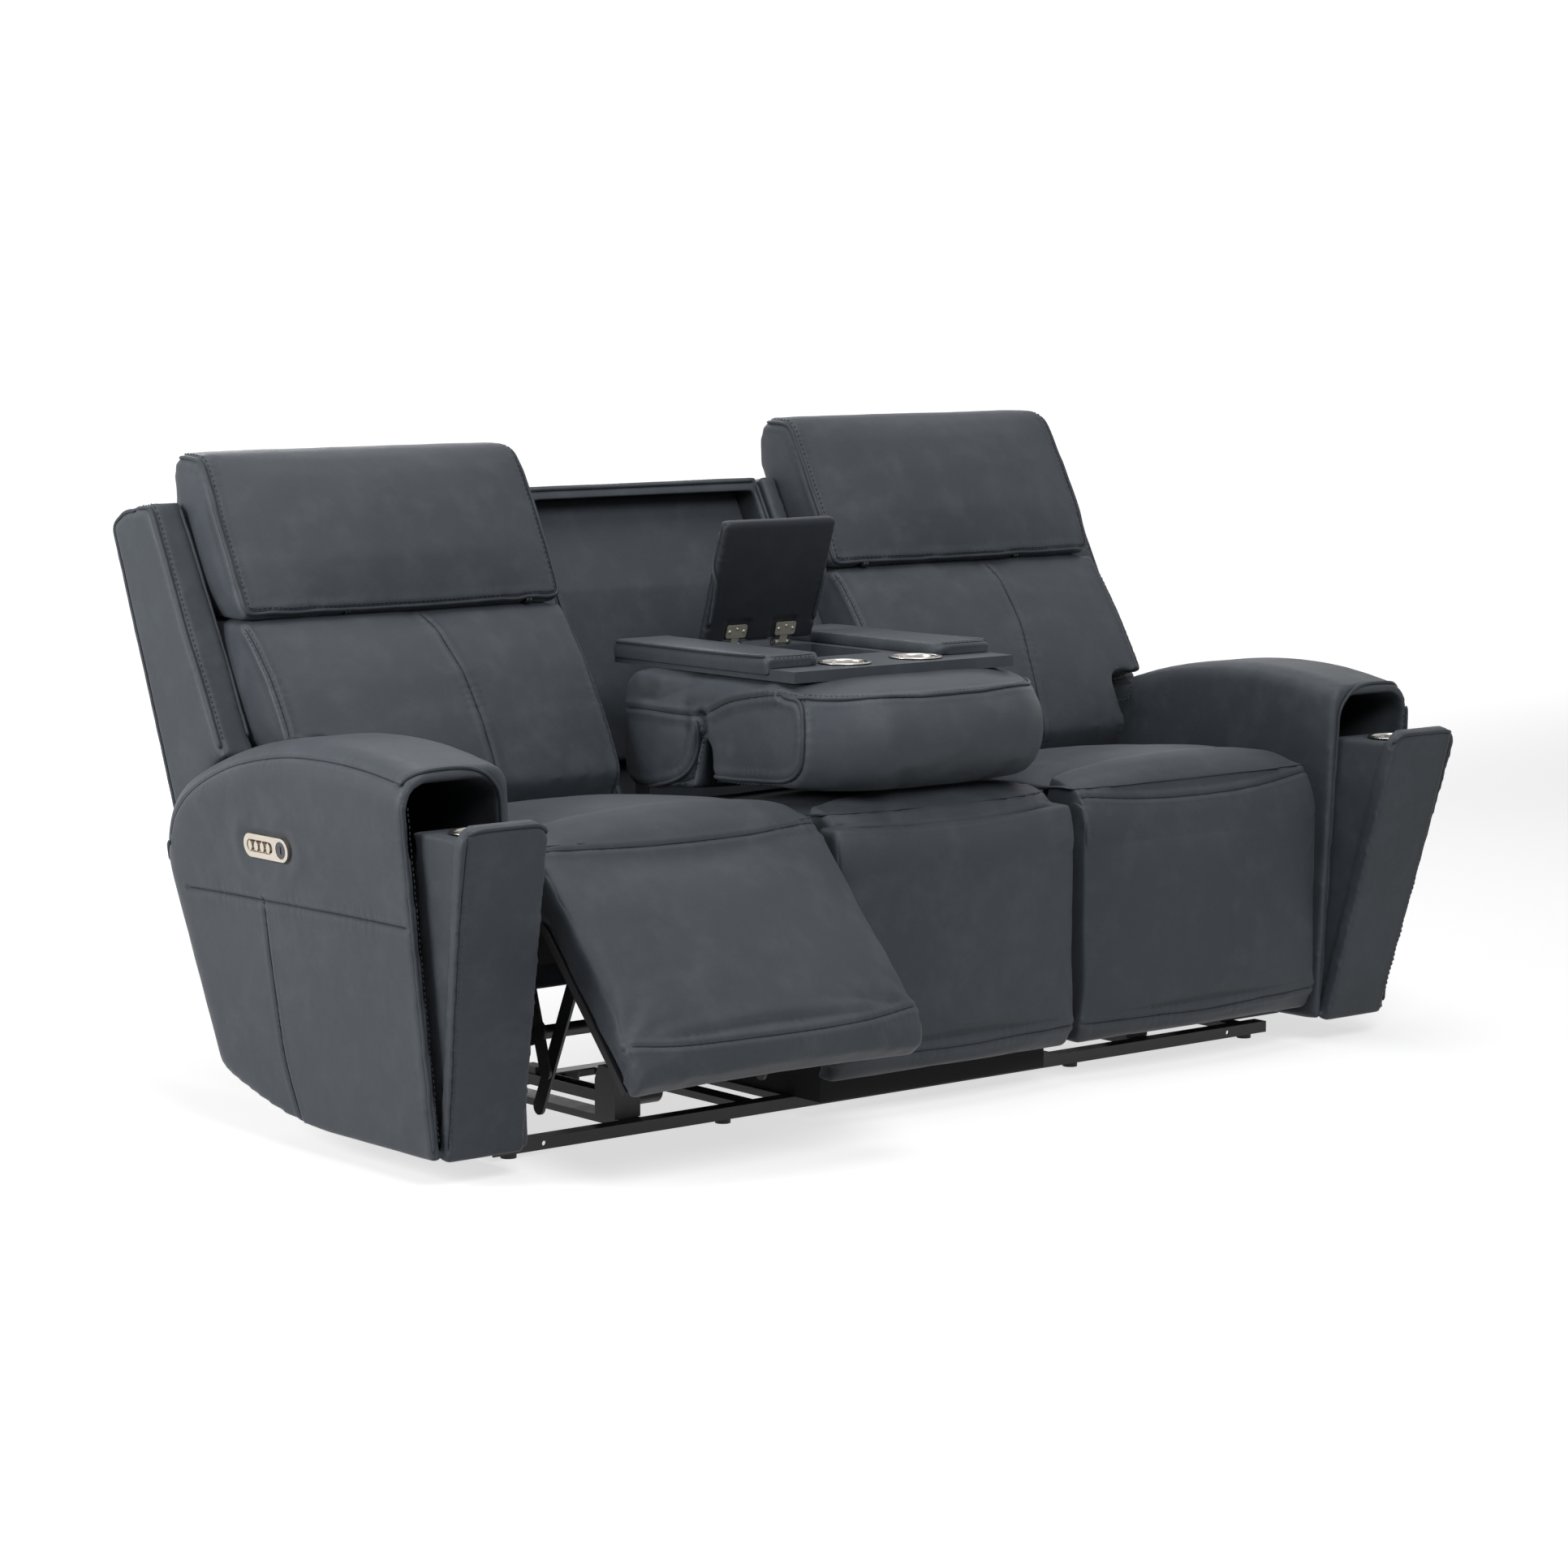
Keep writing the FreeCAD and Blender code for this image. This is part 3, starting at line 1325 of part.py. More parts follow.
def build_back(side, name, rise):
    body = new_body(f"{name}_back_shell")
    width = back_outer - back_inner
    add_plate(body, "X", shell_profile(), side * back_inner, width, side)
    low, high = back_base - 50, back_top + 60
    hollow = [
        (inner_face(high), high),
        (inner_face(low), low),
        (arm_front, low),
        (arm_front, high),
    ]
    start = side * (back_inner + wing_inner)
    cut_plate(body, "X", hollow, start, width - wing_inner - wing_outer, side)
    outside = side * (side_seat_outer - 2)
    cut_plate(body, "X", behind_arm(size_gap), outside, back_outer - side_seat_outer + 10, side)

    def rear_or_top(middle, along, edge):
        at_side = abs(abs(middle.x) - float(back_outer)) < 1
        return at_side and middle.z > float(crown_z) - 72

    soften(body, 8, rear_or_top)
    keep(f"{name}_back_shell", body)

    inner = back_inner + wing_inner + 4
    outer = back_outer - wing_outer - 4
    seam = arm_crest - 20
    lower = (
        (deck_top + 1, 190, 10),
        (seat_crown - 46, 178, 20),
        (seat_crown - 4, 160, 32),
        (seam + 1, 214, 42),
    )
    along = rise * back_front_slope
    upper = (
        (seam - 152, 178, 20),
        (seam - 110, 160, 32),
        (seam, 214, 42),
        (seam + 80, 262, 46),
        (seam + 142 + rise, 311 + along, 36),
        (seam + 168 + rise, 334 + along, 12),
    )
    sections = []
    for z, front, bulge in lower:
        rear = inner_face(z) - fit_gap
        low_x, high_x = side * inner, side * side_seat_outer
        sections.append(level_section(low_x, high_x, front, rear, bulge, z))
    shape = cushion(sections)
    sections = []
    for z, front, bulge in upper:
        rear = inner_face(z) - fit_gap
        sections.append(level_section(side * inner, side * outer, front, rear, bulge, z))
    ear_room = arm_shadow(side, side_seat_outer - 1, outer + 20, arm_clearance)
    shape = shape.fuse(cushion(sections).cut(ear_room)).removeSplitter()
    solid_feature(f"{name}_back_cushion", shape)

    brackets = []
    step = plate_thick + link_gap
    head_y, head_z = head_hinge(rise)
    for hand in (-1, 1):
        arm = new_body("HeadArm")
        eye = head_eye
        arm_profile = [
            (head_y, head_z - eye),
            (inner_face(head_z - eye), head_z - eye),
            (inner_face(head_z + eye), head_z + eye),
            (head_y, head_z + eye),
            Bow(head_y - eye, head_z),
        ]
        start = seat_x(side, hand * head_offset)
        add_plate(arm, "X", arm_profile, start, plate_thick, hand * side)
        add_round(arm, "X", [(head_y, head_z)], head_pin, start, step * 2, hand * side)
        brackets.append(arm)
    for hand in (-1, 1):
        bracket = new_body("Bracket")
        top = deck_top - 8
        foot = hip_z - 36
        profile = [
            (hip_y - 16, hip_z - 10),
            (hip_y, hip_z - 22),
            (inner_face(foot), foot),
            (inner_face(top), top),
            (hip_y + 40, top),
            (hip_y - 18, hip_z + 14),
        ]
        start = seat_x(side, hand * (plate_offset - step))
        add_plate(bracket, "X", profile, start, plate_thick, -hand * side)
        hole_at = seat_x(side, hand * (plate_offset - step + 1))
        place = [(hip_y, hip_z)]
        cut_round(bracket, "X", place, hip_pin + pin_gap, hole_at, plate_thick + 2, -hand * side)
        brackets.append(bracket)
    group(f"{name}_back_brackets", brackets)
    return inner, outer


def build_headrest(side, name, inner, outer, rise):
    base = arm_crest + 164
    stations = (
        (-12, 345, 500, 8, 7),
        (2, 334, 508, 22, 2),
        (84, 374, 528, 48, 0),
        (164, 417, 556, 48, 1),
        (219, 446, 562, 36, 3),
        (246, 462, 550, 16, 7),
        (259, 480, 533, 6, 20),
    )
    along = rise * back_front_slope
    sections = []
    for up, front, rear, bulge, draw in stations:
        z = base + rise + up
        low_x, high_x = side * (inner + draw), side * (outer - draw)
        section = level_section(low_x, high_x, front + along, rear + along, bulge, z)
        sections.append(section)
    shape = cushion(sections)
    ceiling = float(base + rise)
    for hand in (-1, 1):
        near = float(seat_x(side, hand * (head_offset - 1.5)))
        beyond = float(seat_x(side, hand * (head_offset + 3 * plate_thick)))
        corner = Vector(min(near, beyond), float(head_hinge_y) - 60, ceiling - 30)
        shape = shape.cut(Part.makeBox(abs(beyond - near), 300, 30, corner))
    solid_feature(f"{name}_headrest", shape)
    head_y, head_z = head_hinge(rise)
    lugs = []
    for hand in (-1, 1):
        lug = new_body("Lug")
        lug_profile = [
            (head_y, head_z - head_eye),
            (head_y + 60, base + rise - 1),
            (head_y + 60, base + rise),
            (head_y + 16, base + rise),
            (head_y, head_z + head_eye),
            Bow(head_y - head_eye, head_z),
        ]
        start = seat_x(side, hand * (head_offset + plate_thick + link_gap))
        add_plate(lug, "X", lug_profile, start, plate_thick, hand * side)
        place = [(head_y, head_z)]
        bore_start = start - hand * side
        cut_round(lug, "X", place, head_pin + pin_gap, bore_start, plate_thick + 2, hand * side)
        lugs.append(lug)
    group(f"{name}_headrest_lugs", lugs)


size_gap = size("wing_to_arm_gap", 6)
doc.recompute()
for side, name in ((-1, "left"), (1, "right")):
    rise = right_head_rise if side > 0 else Size(0, "0")
    inner, outer = build_back(side, name, rise)
    build_headrest(side, name, inner, outer, rise)

# Middle seat: its frame, back, seat and front panel
frame_half = middle_outer - middle_wall - 2
frame_top = deck_top - 5
frame_wall = size("frame_wall", 20)
doc.recompute()
frame = new_body("middle_seat_frame")
frame_profile = [
    (foot_hinge_y + foot_root + fit_gap, rail_top),
    (foot_hinge_y + foot_root + fit_gap, deck_top),
    (seat_rear, deck_top),
    (seat_rear, frame_top),
    (inner_face(frame_top), frame_top),
    (inner_face(back_base), back_base),
    (bar_end, rail_top),
]
add_plate(frame, "X", frame_profile, -frame_half, frame_half * 2)
frame_hollow = [
    (foot_hinge_y + foot_root + frame_wall, rail_top - 1),
    (foot_hinge_y + foot_root + frame_wall, frame_top - frame_wall),
    (inner_face(frame_top) - frame_wall * 2, frame_top - frame_wall),
    (inner_face(back_base) - frame_wall * 2, back_base),
    (bar_end - frame_wall, rail_top - 1),
]
hollow_half = frame_half - frame_wall
cut_plate(frame, "X", frame_hollow, -hollow_half, hollow_half * 2)
keep("middle_seat_frame", frame)

brackets = []
for hand in (-1, 1):
    bracket = new_body("Pivot")
    cheek = console_half + 3
    cheek_profile = [
        (fold_y - 12, frame_top - 120),
        (fold_y - 16, fold_z),
        Bow(fold_y, fold_z + 16),
        (fold_y + 16, fold_z),
        (fold_y + 24, frame_top - 120),
    ]
    add_plate(bracket, "X", cheek_profile, hand * cheek, 4, hand)
    pin_start = hand * (cheek + 2)
    add_round(bracket, "X", [(fold_y, fold_z)], fold_pin, pin_start, 12, -hand)
    foot_plate = [
        (fold_y - 12, frame_top - 120),
        (fold_y - 12, frame_top - 60),
        (fold_y + 22, frame_top - 60),
        (fold_y + 22, frame_top - 120),
    ]
    spacer = cheek - frame_half
    add_plate(bracket, "X", foot_plate, hand * frame_half, spacer, hand)
    brackets.append(bracket)
group("console_pivot_brackets", brackets)

middle_shell = new_body("middle_back_shell")
add_plate(middle_shell, "X", shell_profile(middle_set_back), -middle_outer, middle_outer * 2)
low = back_base - 50
hollow = [
    (inner_face(recess_top), recess_top),
    (inner_face(low), low),
    (arm_front, low),
    (arm_front, recess_top),
]
inside = middle_outer - middle_wall
cut_plate(middle_shell, "X", hollow, -inside, inside * 2)
keep("middle_back_shell", middle_shell)

panel_body = new_body("recess_panel")
panel_half = inside - fit_gap
panel_wall = 16
recess_profile = [
    (front_edge(recess_top) + recess_deep, recess_top - fit_gap),
    (front_edge(recess_seam) + recess_deep, recess_seam),
    (inner_face(recess_foot) - panel_wall - 2, recess_foot),
    (inner_face(recess_foot) - 2, recess_foot),
    (front_edge(recess_seam) + recess_deep + panel_wall, recess_seam),
    (front_edge(recess_top) + recess_deep + panel_wall, recess_top - fit_gap),
]
add_plate(panel_body, "X", recess_profile, -panel_half, panel_half * 2)
keep("recess_panel", panel_body)

stations = (
    (seat_rear - 2, 4, 62, 6),
    (seat_rear - 150, 0, 70, 12),
    (seat_rear - 330, 0, 82, 20),
    (nose_front + 60, 1, 82, 22),
    (nose_front + 24, 3, 78, 16),
    (nose_front + 6, 6, 74, 12),
    (nose_front, 9, 67, 6),
)
sections = []
for y, draw, top, bulge in stations:
    half = middle_half - draw
    section = cross_section(-half, half, deck_top + fit_gap, deck_top + top, bulge, y)
    sections.append(section)
seat_shape = cushion(sections)
notch_top = float(foot_hinge_z + foot_root) + 1
notch = Part.makeBox(
    2 * float(middle_half) + 10,
    float(deck_front) - float(nose_front) + 18,
    notch_top - float(deck_top) + 10,
    Vector(-float(middle_half) - 5, float(nose_front) - 20, float(deck_top) - 10),
)
solid_feature("middle_seat_cushion", seat_shape.cut(notch))

stations = (
    (-foot_root, 4, 8, 6),
    (-foot_root + 12, 2, 2, 12),
    (Size(20, "20"), 1, 0, 19),
    (foot_length / 2, 0, 0, foot_crown),
    (foot_length - 62, 1, 0, foot_crown - 2),
    (foot_length - 30, 2, 2, 17),
    (foot_length - 10, 4, 8, 10),
    (foot_length, 8, 15, 4),
)
sections = []
for down, draw, thin, bulge in stations:
    half = middle_half - draw
    front = foot_hinge_y - foot_root + thin
    rear = foot_hinge_y + foot_root
    section = level_section(-half, half, front, rear, bulge, foot_hinge_z - down)
    sections.append(section)
solid_feature("middle_front_panel", cushion(sections))

# Fold-down console
console = new_body("console_back")
roll_top = table_top - table_thick - fit_gap
console_profile = [
    (table_front - 105, roll_top - 14),
    (table_front, roll_top),
    (fold_y + 30, roll_top),
    (fold_y + 58, roll_top - 26),
    (fold_y + 58, lumbar_base + 60),
    Bow(fold_y + 46, lumbar_base + 18),
    (fold_y + 10, lumbar_base),
    (fold_y - 132, lumbar_base + 4),
    (fold_y - 155, roll_base + 106),
    (fold_y - 176, roll_base),
    (table_front - 100, roll_base + 4),
    Bow(table_front - 158, roll_base + 82),
]
add_plate(console, "X", console_profile, -console_half, console_half * 2)


well_clear = well_half + well_wall + fit_gap * 4
well_outline = [
    (-well_clear, well_front - well_wall - 1.2),
    (well_clear, well_front - well_wall - 1.2),
    (well_clear, well_rear + well_wall + 1.2),
    (-well_clear, well_rear + well_wall + 1.2),
]
well_base = table_top - well_deep - well_wall
cut_plate(console, "Z", well_outline, well_base - fit_gap, well_deep + 20)
cup_places = [(-console_cup_x, console_cup_y), (console_cup_x, console_cup_y)]
cup_hole = cup_bore + cup_wall + fit_gap
cut_round(console, "Z", cup_places, cup_hole, table_top - cup_deep - 2, cup_deep + 20)
for hand in (-1, 1):
    bore_start = hand * (console_half + 1)
    cut_round(console, "X", [(fold_y, fold_z)], fold_pin + pin_gap, bore_start, 12, -hand)
keep("console_back", console)

table = new_body("console_table")
table_outline = [
    (-table_half, table_front),
    (table_half, table_front),
    (table_half, table_rear),
    (-table_half, table_rear),
]
add_plate(table, "Z", table_outline, table_top - table_thick, table_thick)
tub_outline = [
    (-well_half - well_wall, well_front - well_wall),
    (well_half + well_wall, well_front - well_wall),
    (well_half + well_wall, well_rear + well_wall),
    (-well_half - well_wall, well_rear + well_wall),
]
add_plate(table, "Z", tub_outline, well_base, well_deep)
well = [
    (-well_half, well_front),
    (well_half, well_front),
    (well_half, well_rear),
    (-well_half, well_rear),
]
cut_plate(table, "Z", well, well_base + well_wall, well_deep + 5)
cut_round(table, "Z", cup_places, cup_hole, table_top - table_thick - 1, table_thick + 2)
lug_profile = [
    (lid_hinge_y - knuckle - 1, table_top - 1),
    (lid_hinge_y - knuckle - 1, lid_hinge_z),
    Bow(lid_hinge_y, lid_hinge_z + knuckle + 1),
    (lid_hinge_y + knuckle + 1, lid_hinge_z),
    (lid_hinge_y + knuckle + 1, table_top - 1),
]
hinge_x = 55
barrel_half = 18
for middle_x in (-hinge_x, hinge_x):
    for hand in (-1, 1):
        start = middle_x + hand * (barrel_half - 3)
        add_plate(table, "X", lug_profile, Size(start, f"({start})"), 5, hand)
lug_hole = [(lid_hinge_y, lid_hinge_z)]
lug_run = 2 * (hinge_x + barrel_half) + 20
lug_start = Size(-lug_run / 2, f"({-lug_run / 2})")
cut_round(table, "X", lug_hole, knuckle - 1 + pin_gap, lug_start, lug_run)
keep("console_table", table)

cups = [placed_cup("Cup", x, y, table_top, 0) for x, y in cup_places]
group("console_cups", cups)

pads = []
for hand in (-1, 1):
    pad = new_body("Pad")
    pad_outline = [
        (hand * pad_inner, pad_front + 22),
        Bow(hand * (pad_inner + 7), pad_front + 7),
        (hand * (pad_inner + 24), pad_front),
        (hand * pad_outer, pad_front),
        (hand * pad_outer, table_rear),
        (hand * pad_inner, table_rear),
    ]
    add_plate(pad, "Z", pad_outline, table_top, pad_thick)

    def pad_top(middle, along, edge):
        return middle.z > float(table_top + pad_thick) - 0.5

    soften(pad, 7, pad_top)
    pads.append(pad)
group("console_pads", pads)

lid_base = table_top + 2
lid = new_body("console_lid")
lid_outline = [
    (-lid_half, lid_hinge_y - lid_tail - lid_length),
    (lid_half, lid_hinge_y - lid_tail - lid_length),
    (lid_half, lid_hinge_y - lid_tail),
    (-lid_half, lid_hinge_y - lid_tail),
]
add_plate(lid, "Z", lid_outline, lid_base, pad_thick - 2)


def lid_corner(middle, along, edge):
    return abs(along.z) > 0.9


soften(lid, 10, lid_corner)
lid_turn = about_x(lid_hinge_y, lid_hinge_z, -float(lid_open))
lid.Placement = lid_turn
keep("console_lid", lid)

hinge_plates = []
barrels = []
for middle_x in (-hinge_x, hinge_x):
    plate = new_body("HingePlate")
    x0 = Size(middle_x - barrel_half, f"({middle_x - barrel_half})")
    rear = lid_hinge_y - lid_tail - 20
    tongue = barrel_half - 4
    plate_outline = [
        (x0, rear - 18),
        (x0 + 2 * barrel_half, rear - 18),
        (x0 + 2 * barrel_half, rear),
        (x0 + barrel_half + tongue, rear),
        (x0 + barrel_half + tongue, lid_hinge_y),
        (x0 + barrel_half - tongue, lid_hinge_y),
        (x0 + barrel_half - tongue, rear),
        (x0, rear),
    ]
    add_plate(plate, "Z", plate_outline, lid_base - 1.6, 1.6)
    plate.Placement = lid_turn
    hinge_plates.append(plate)
    barrel = doc.addObject("Part::Cylinder", "Barrel")
    barrel.setExpression("Radius", words(knuckle))
    barrel.setExpression("Height", str(2 * (barrel_half - 3) - 0.6))
    lay = FreeCAD.Rotation(Vector(0, 1, 0), 90)
    start = middle_x - barrel_half + 3.3
    place = Vector(start, float(lid_hinge_y), float(lid_hinge_z))
    barrel.Placement = FreeCAD.Placement(place, lay)
    pin = doc.addObject("Part::Cylinder", "Pin")
    pin.setExpression("Radius", words(knuckle - 1))
    pin.setExpression("Height", str(2 * barrel_half + 2))
    place = Vector(middle_x - barrel_half - 1, float(lid_hinge_y), float(lid_hinge_z))
    pin.Placement = FreeCAD.Placement(place, lay)
    joined = doc.addObject("Part::Fuse", "Knuckle")
    joined.Base = barrel
    joined.Tool = pin
    barrels.append(joined)
group("lid_hinge_plates", hinge_plates)
group("lid_hinge_knuckles", barrels)

doc.recompute()

bad = [item.Label for item in doc.Objects if "Invalid" in item.State or "Error" in item.State]
if bad:
    raise ValueError(f"failed objects: {bad}")
labels = set()
for thing in nodes:
    shape = thing.Shape
    if shape.isNull() or not shape.isValid() or not shape.Solids:
        raise ValueError(f"{thing.Label} has no sound shape")
    if thing.Label in labels:
        raise ValueError(f"two sub-parts are called {thing.Label}")
    labels.add(thing.Label)

os.makedirs("parts", exist_ok=True)
for thing in nodes:
    thing.Shape.exportStep(f"parts/{thing.Label}.step")
print(len(nodes), "sub-parts written")
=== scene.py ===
import math

import bmesh
import bpy
import numpy as np
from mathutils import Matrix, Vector
from mathutils.bvhtree import BVHTree


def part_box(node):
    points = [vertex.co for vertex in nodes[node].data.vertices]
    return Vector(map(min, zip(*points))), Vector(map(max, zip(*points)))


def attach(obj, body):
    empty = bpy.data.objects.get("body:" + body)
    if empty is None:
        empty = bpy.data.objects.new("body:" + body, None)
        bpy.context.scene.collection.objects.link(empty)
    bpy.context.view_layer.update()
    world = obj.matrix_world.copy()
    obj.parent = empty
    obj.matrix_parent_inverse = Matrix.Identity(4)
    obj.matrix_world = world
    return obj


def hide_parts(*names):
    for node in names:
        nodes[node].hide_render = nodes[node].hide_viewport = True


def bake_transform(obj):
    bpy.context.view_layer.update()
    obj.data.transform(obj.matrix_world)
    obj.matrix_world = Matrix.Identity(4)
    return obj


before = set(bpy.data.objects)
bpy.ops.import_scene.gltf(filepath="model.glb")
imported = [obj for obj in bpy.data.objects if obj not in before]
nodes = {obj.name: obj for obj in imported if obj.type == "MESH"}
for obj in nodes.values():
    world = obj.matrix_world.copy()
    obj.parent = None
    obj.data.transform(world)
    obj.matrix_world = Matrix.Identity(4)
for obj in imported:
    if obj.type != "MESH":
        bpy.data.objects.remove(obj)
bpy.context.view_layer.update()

render_levels = 1
scene = bpy.context.scene
mm = 0.001


# Shader expressions
class Flow:
    """A socket that takes part in sums, differences and products; each adds one Math node."""

    def __init__(self, book, socket):
        self.book = book
        self.socket = socket

    def _math(self, kind, first, second):
        return self.book.add("Math", {"operation": kind}, {0: first, 1: second})

    def __add__(self, other):
        return self._math("ADD", self, other)

    def __radd__(self, other):
        return self._math("ADD", other, self)

    def __sub__(self, other):
        return self._math("SUBTRACT", self, other)

    def __rsub__(self, other):
        return self._math("SUBTRACT", other, self)

    def __mul__(self, other):
        return self._math("MULTIPLY", self, other)

    def __rmul__(self, other):
        return self._math("MULTIPLY", other, self)


class Book:
    """The node tree of a material, or of the world, with a method that adds any node."""

    seen_rays = ("Camera", "Glossy", "Transmission")

    def __init__(self, name, world=False):
        self.material = (bpy.data.worlds if world else bpy.data.materials).new(name)
        self.material.use_nodes = True
        self.tree = self.material.node_tree
        self.tree.nodes.clear()
        self.out = self.tree.nodes.new(f"ShaderNodeOutput{'World' if world else 'Material'}")

    def node(self, kind, settings, values):
        made = self.tree.nodes.new(f"ShaderNode{kind}")
        for key, value in settings.items():
            setattr(made, key, value)
        for key, value in values.items():
            if isinstance(value, Flow):
                self.tree.links.new(value.socket, made.inputs[key])
            else:
                made.inputs[key].default_value = value
        return made

    def add(self, kind, settings, values, output=0):
        return Flow(self, self.node(kind, settings, values).outputs[output])

    def place(self):
        """Object coordinates, in metres."""
        return self.add("TexCoord", {}, {}, "Object")

    def noise(self, place, scale, detail=2.0, rough=0.5, twist=0.0):
        values = {"Vector": place, "Scale": scale, "Detail": detail, "Roughness": rough}
        values["Distortion"] = twist
        return self.add("TexNoise", {}, values, "Fac")

    def step(self, value, low, high, to_low=0.0, to_high=1.0):
        """Smooth change from to_low to to_high while the value goes from low to high."""
        settings = {"interpolation_type": "SMOOTHSTEP"}
        values = {"Value": value, 1: low, 2: high, 3: to_low, 4: to_high}
        return self.add("MapRange", settings, values)

    def mix(self, factor, first, second):
        made = self.node("Mix", {"data_type": "RGBA"}, {0: factor})
        for socket, value in ((made.inputs[6], first), (made.inputs[7], second)):
            if isinstance(value, Flow):
                self.tree.links.new(value.socket, socket)
            else:
                socket.default_value = (*value, 1.0)
        return Flow(self, made.outputs[2])

    def bump(self, height, strength, distance, below=None):
        values = {"Height": height, "Strength": strength, "Distance": distance}
        if below is not None:
            values["Normal"] = below
        return self.add("Bump", {}, values)

    def show(self, shader):
        self.tree.links.new(shader.outputs[0], self.out.inputs[0])

    def show_by_ray(self, unseen, seen):
        """The seen shader on camera, glossy and transmission rays, the unseen one on all others."""
        rays = [self.add("LightPath", {}, {}, f"Is {kind} Ray") for kind in self.seen_rays]
        choice = self.node("MixShader", {}, {0: rays[0] + rays[1] + rays[2]})
        self.tree.links.new(unseen.outputs[0], choice.inputs[1])
        self.tree.links.new(seen.outputs[0], choice.inputs[2])
        self.show(choice)

    def finish(self, **sockets):
        values = {key.replace("_", " "): value for key, value in sockets.items()}
        made = self.node("BsdfPrincipled", {}, {})
        for key, value in values.items():
            if isinstance(value, Flow):
                self.tree.links.new(value.socket, made.inputs[key])
            elif isinstance(value, tuple):
                made.inputs[key].default_value = (*value, 1.0)
            else:
                made.inputs[key].default_value = value
        self.show(made)
        return self.material


def leather(name, tone, worn, depth=1.0, smooth=0.52, rubbed_edges_and_crease_shade=True):
    """Top-grain leather: clouded dye, fine pebble cells, soft creases, paler along worn edges, and
    painted shade darkening the folds.
    """
    book = Book(name)
    place = book.place()
    cloud = book.noise(place, 3.1, 3.0, 0.55, 0.4)
    patch = book.noise(place, 17.0, 3.0, 0.6)
    fleck = book.noise(place, 240.0, 2.0, 0.6)
    shade = book.step(cloud, 0.3, 0.72)
    dark = tuple(value * 0.84 for value in tone)
    colour = book.mix(shade, dark, tone)
    colour = book.mix(book.step(patch, 0.42, 0.8) * 0.35, colour, worn)
    colour = book.mix(book.step(fleck, 0.52, 0.8) * 0.16, colour, worn)
    rough = smooth + (patch - 0.5) * 0.16
    if rubbed_edges_and_crease_shade:
        edge = book.add("Attribute", {"attribute_name": "edge"}, {}, "Fac")
        rubbed = book.step(edge + (patch - 0.5) * 0.2, 0.56, 0.95)
        colour = book.mix(rubbed * 0.16, colour, worn)
        # Painted shade: where the edge attribute is low, in folds and seam grooves, the colour darkens
        # towards half its tone.
        crease_shade = book.step(edge, 0.46, 0.2)
        deep = tuple(value * 0.5 for value in tone)
        colour = book.mix(crease_shade * 0.75, colour, deep)
        rough = rough - rubbed * 0.06
    cells = book.add("TexVoronoi", {"feature": "DISTANCE_TO_EDGE"}, {"Vector": place, "Scale": 620.0})
    pebble = book.step(cells, 0.0, 0.28)
    pore = book.noise(place, 1500.0, 2.0, 0.6)
    crease = book.noise(place, 46.0, 4.0, 0.62, 1.2)
    line = book.step(book.add("Math", {"operation": "ABSOLUTE"}, {0: crease - 0.5}), 0.0, 0.03)
    soft = book.noise(place, 12.0, 2.0, 0.5)
    normal = book.bump(soft, 0.35 * depth, 0.006)
    normal = book.bump(line, 0.16 * depth, 0.0006, normal)
    normal = book.bump(pebble * 0.8 + pore * 0.35, 0.3 * depth, 0.00035, normal)
    rough = rough - pebble * 0.05
    return book.finish(
        Base_Color=colour, Roughness=rough, Normal=normal, Specular_IOR_Level=0.2,
        Sheen_Weight=0.03, Sheen_Roughness=0.5,
    )


def painted_steel(name, tone, rough=0.42):
    """Powder coat: tiny orange-peel bumps, dust that lightens and dulls some places."""
    book = Book(name)
    place = book.place()
    peel = book.noise(place, 900.0, 2.0, 0.5)
    dust = book.noise(place, 32.0, 4.0, 0.6)
    light = tuple(min(1.0, value * 1.9 + 0.006) for value in tone)
    colour = book.mix(book.step(dust, 0.5, 0.8) * 0.5, tone, light)
    normal = book.bump(peel, 0.22, 0.0003)
    return book.finish(
        Base_Color=colour, Roughness=rough + (dust - 0.5) * 0.2, Normal=normal, Metallic=0.0
    )


def brushed_metal(name, tone, rough, along, metallic=1.0):
    """Satin metal: fine lines drawn along one axis, and faint handling marks."""
    book = Book(name)
    place = book.place()
    stretch = tuple(40.0 if axis == along else 2600.0 for axis in "xyz")
    drawn = book.add("Mapping", {}, {"Vector": place, "Scale": stretch})
    lines = book.noise(drawn, 1.0, 3.0, 0.6)
    marks = book.noise(place, 90.0, 3.0, 0.6)
    dull = tuple(value * 0.82 for value in tone)
    colour = book.mix(book.step(lines, 0.3, 0.7), dull, tone)
    normal = book.bump(lines, 0.12, 0.0001)
    return book.finish(
        Base_Color=colour, Roughness=rough + (marks - 0.5) * 0.12 + lines * 0.05,
        Metallic=metallic, Normal=normal,
    )


def plastic(name, tone, rough, texture=0.15):
    """Moulded plastic with a fine spark-eroded grain."""
    book = Book(name)
    place = book.place()
    grain = book.noise(place, 1400.0, 2.0, 0.5)
    dust = book.noise(place, 45.0, 3.0, 0.6)
    light = tuple(min(1.0, value * 1.5 + 0.004) for value in tone)
    colour = book.mix(book.step(dust, 0.45, 0.8) * 0.4, tone, light)
    normal = book.bump(grain, texture, 0.0002)
    return book.finish(
        Base_Color=colour, Roughness=rough + (dust - 0.5) * 0.14, Normal=normal
    )


def cloth_liner(name, tone):
    """Non-woven dust cloth: dimpled points in rows over a fibrous sheet."""
    book = Book(name)
    place = book.place()
    spots = book.add("TexVoronoi", {}, {"Vector": place, "Scale": 420.0, "Randomness": 0.15})
    fibre = book.noise(place, 700.0, 4.0, 0.7, 0.6)
    light = tuple(min(1.0, value * 2.0 + 0.004) for value in tone)
    colour = book.mix(book.step(fibre, 0.4, 0.75) * 0.6, tone, light)
    normal = book.bump(book.step(spots, 0.1, 0.4) + fibre * 0.5, 0.35, 0.0005)
    return book.finish(Base_Color=colour, Roughness=0.95, Normal=normal)


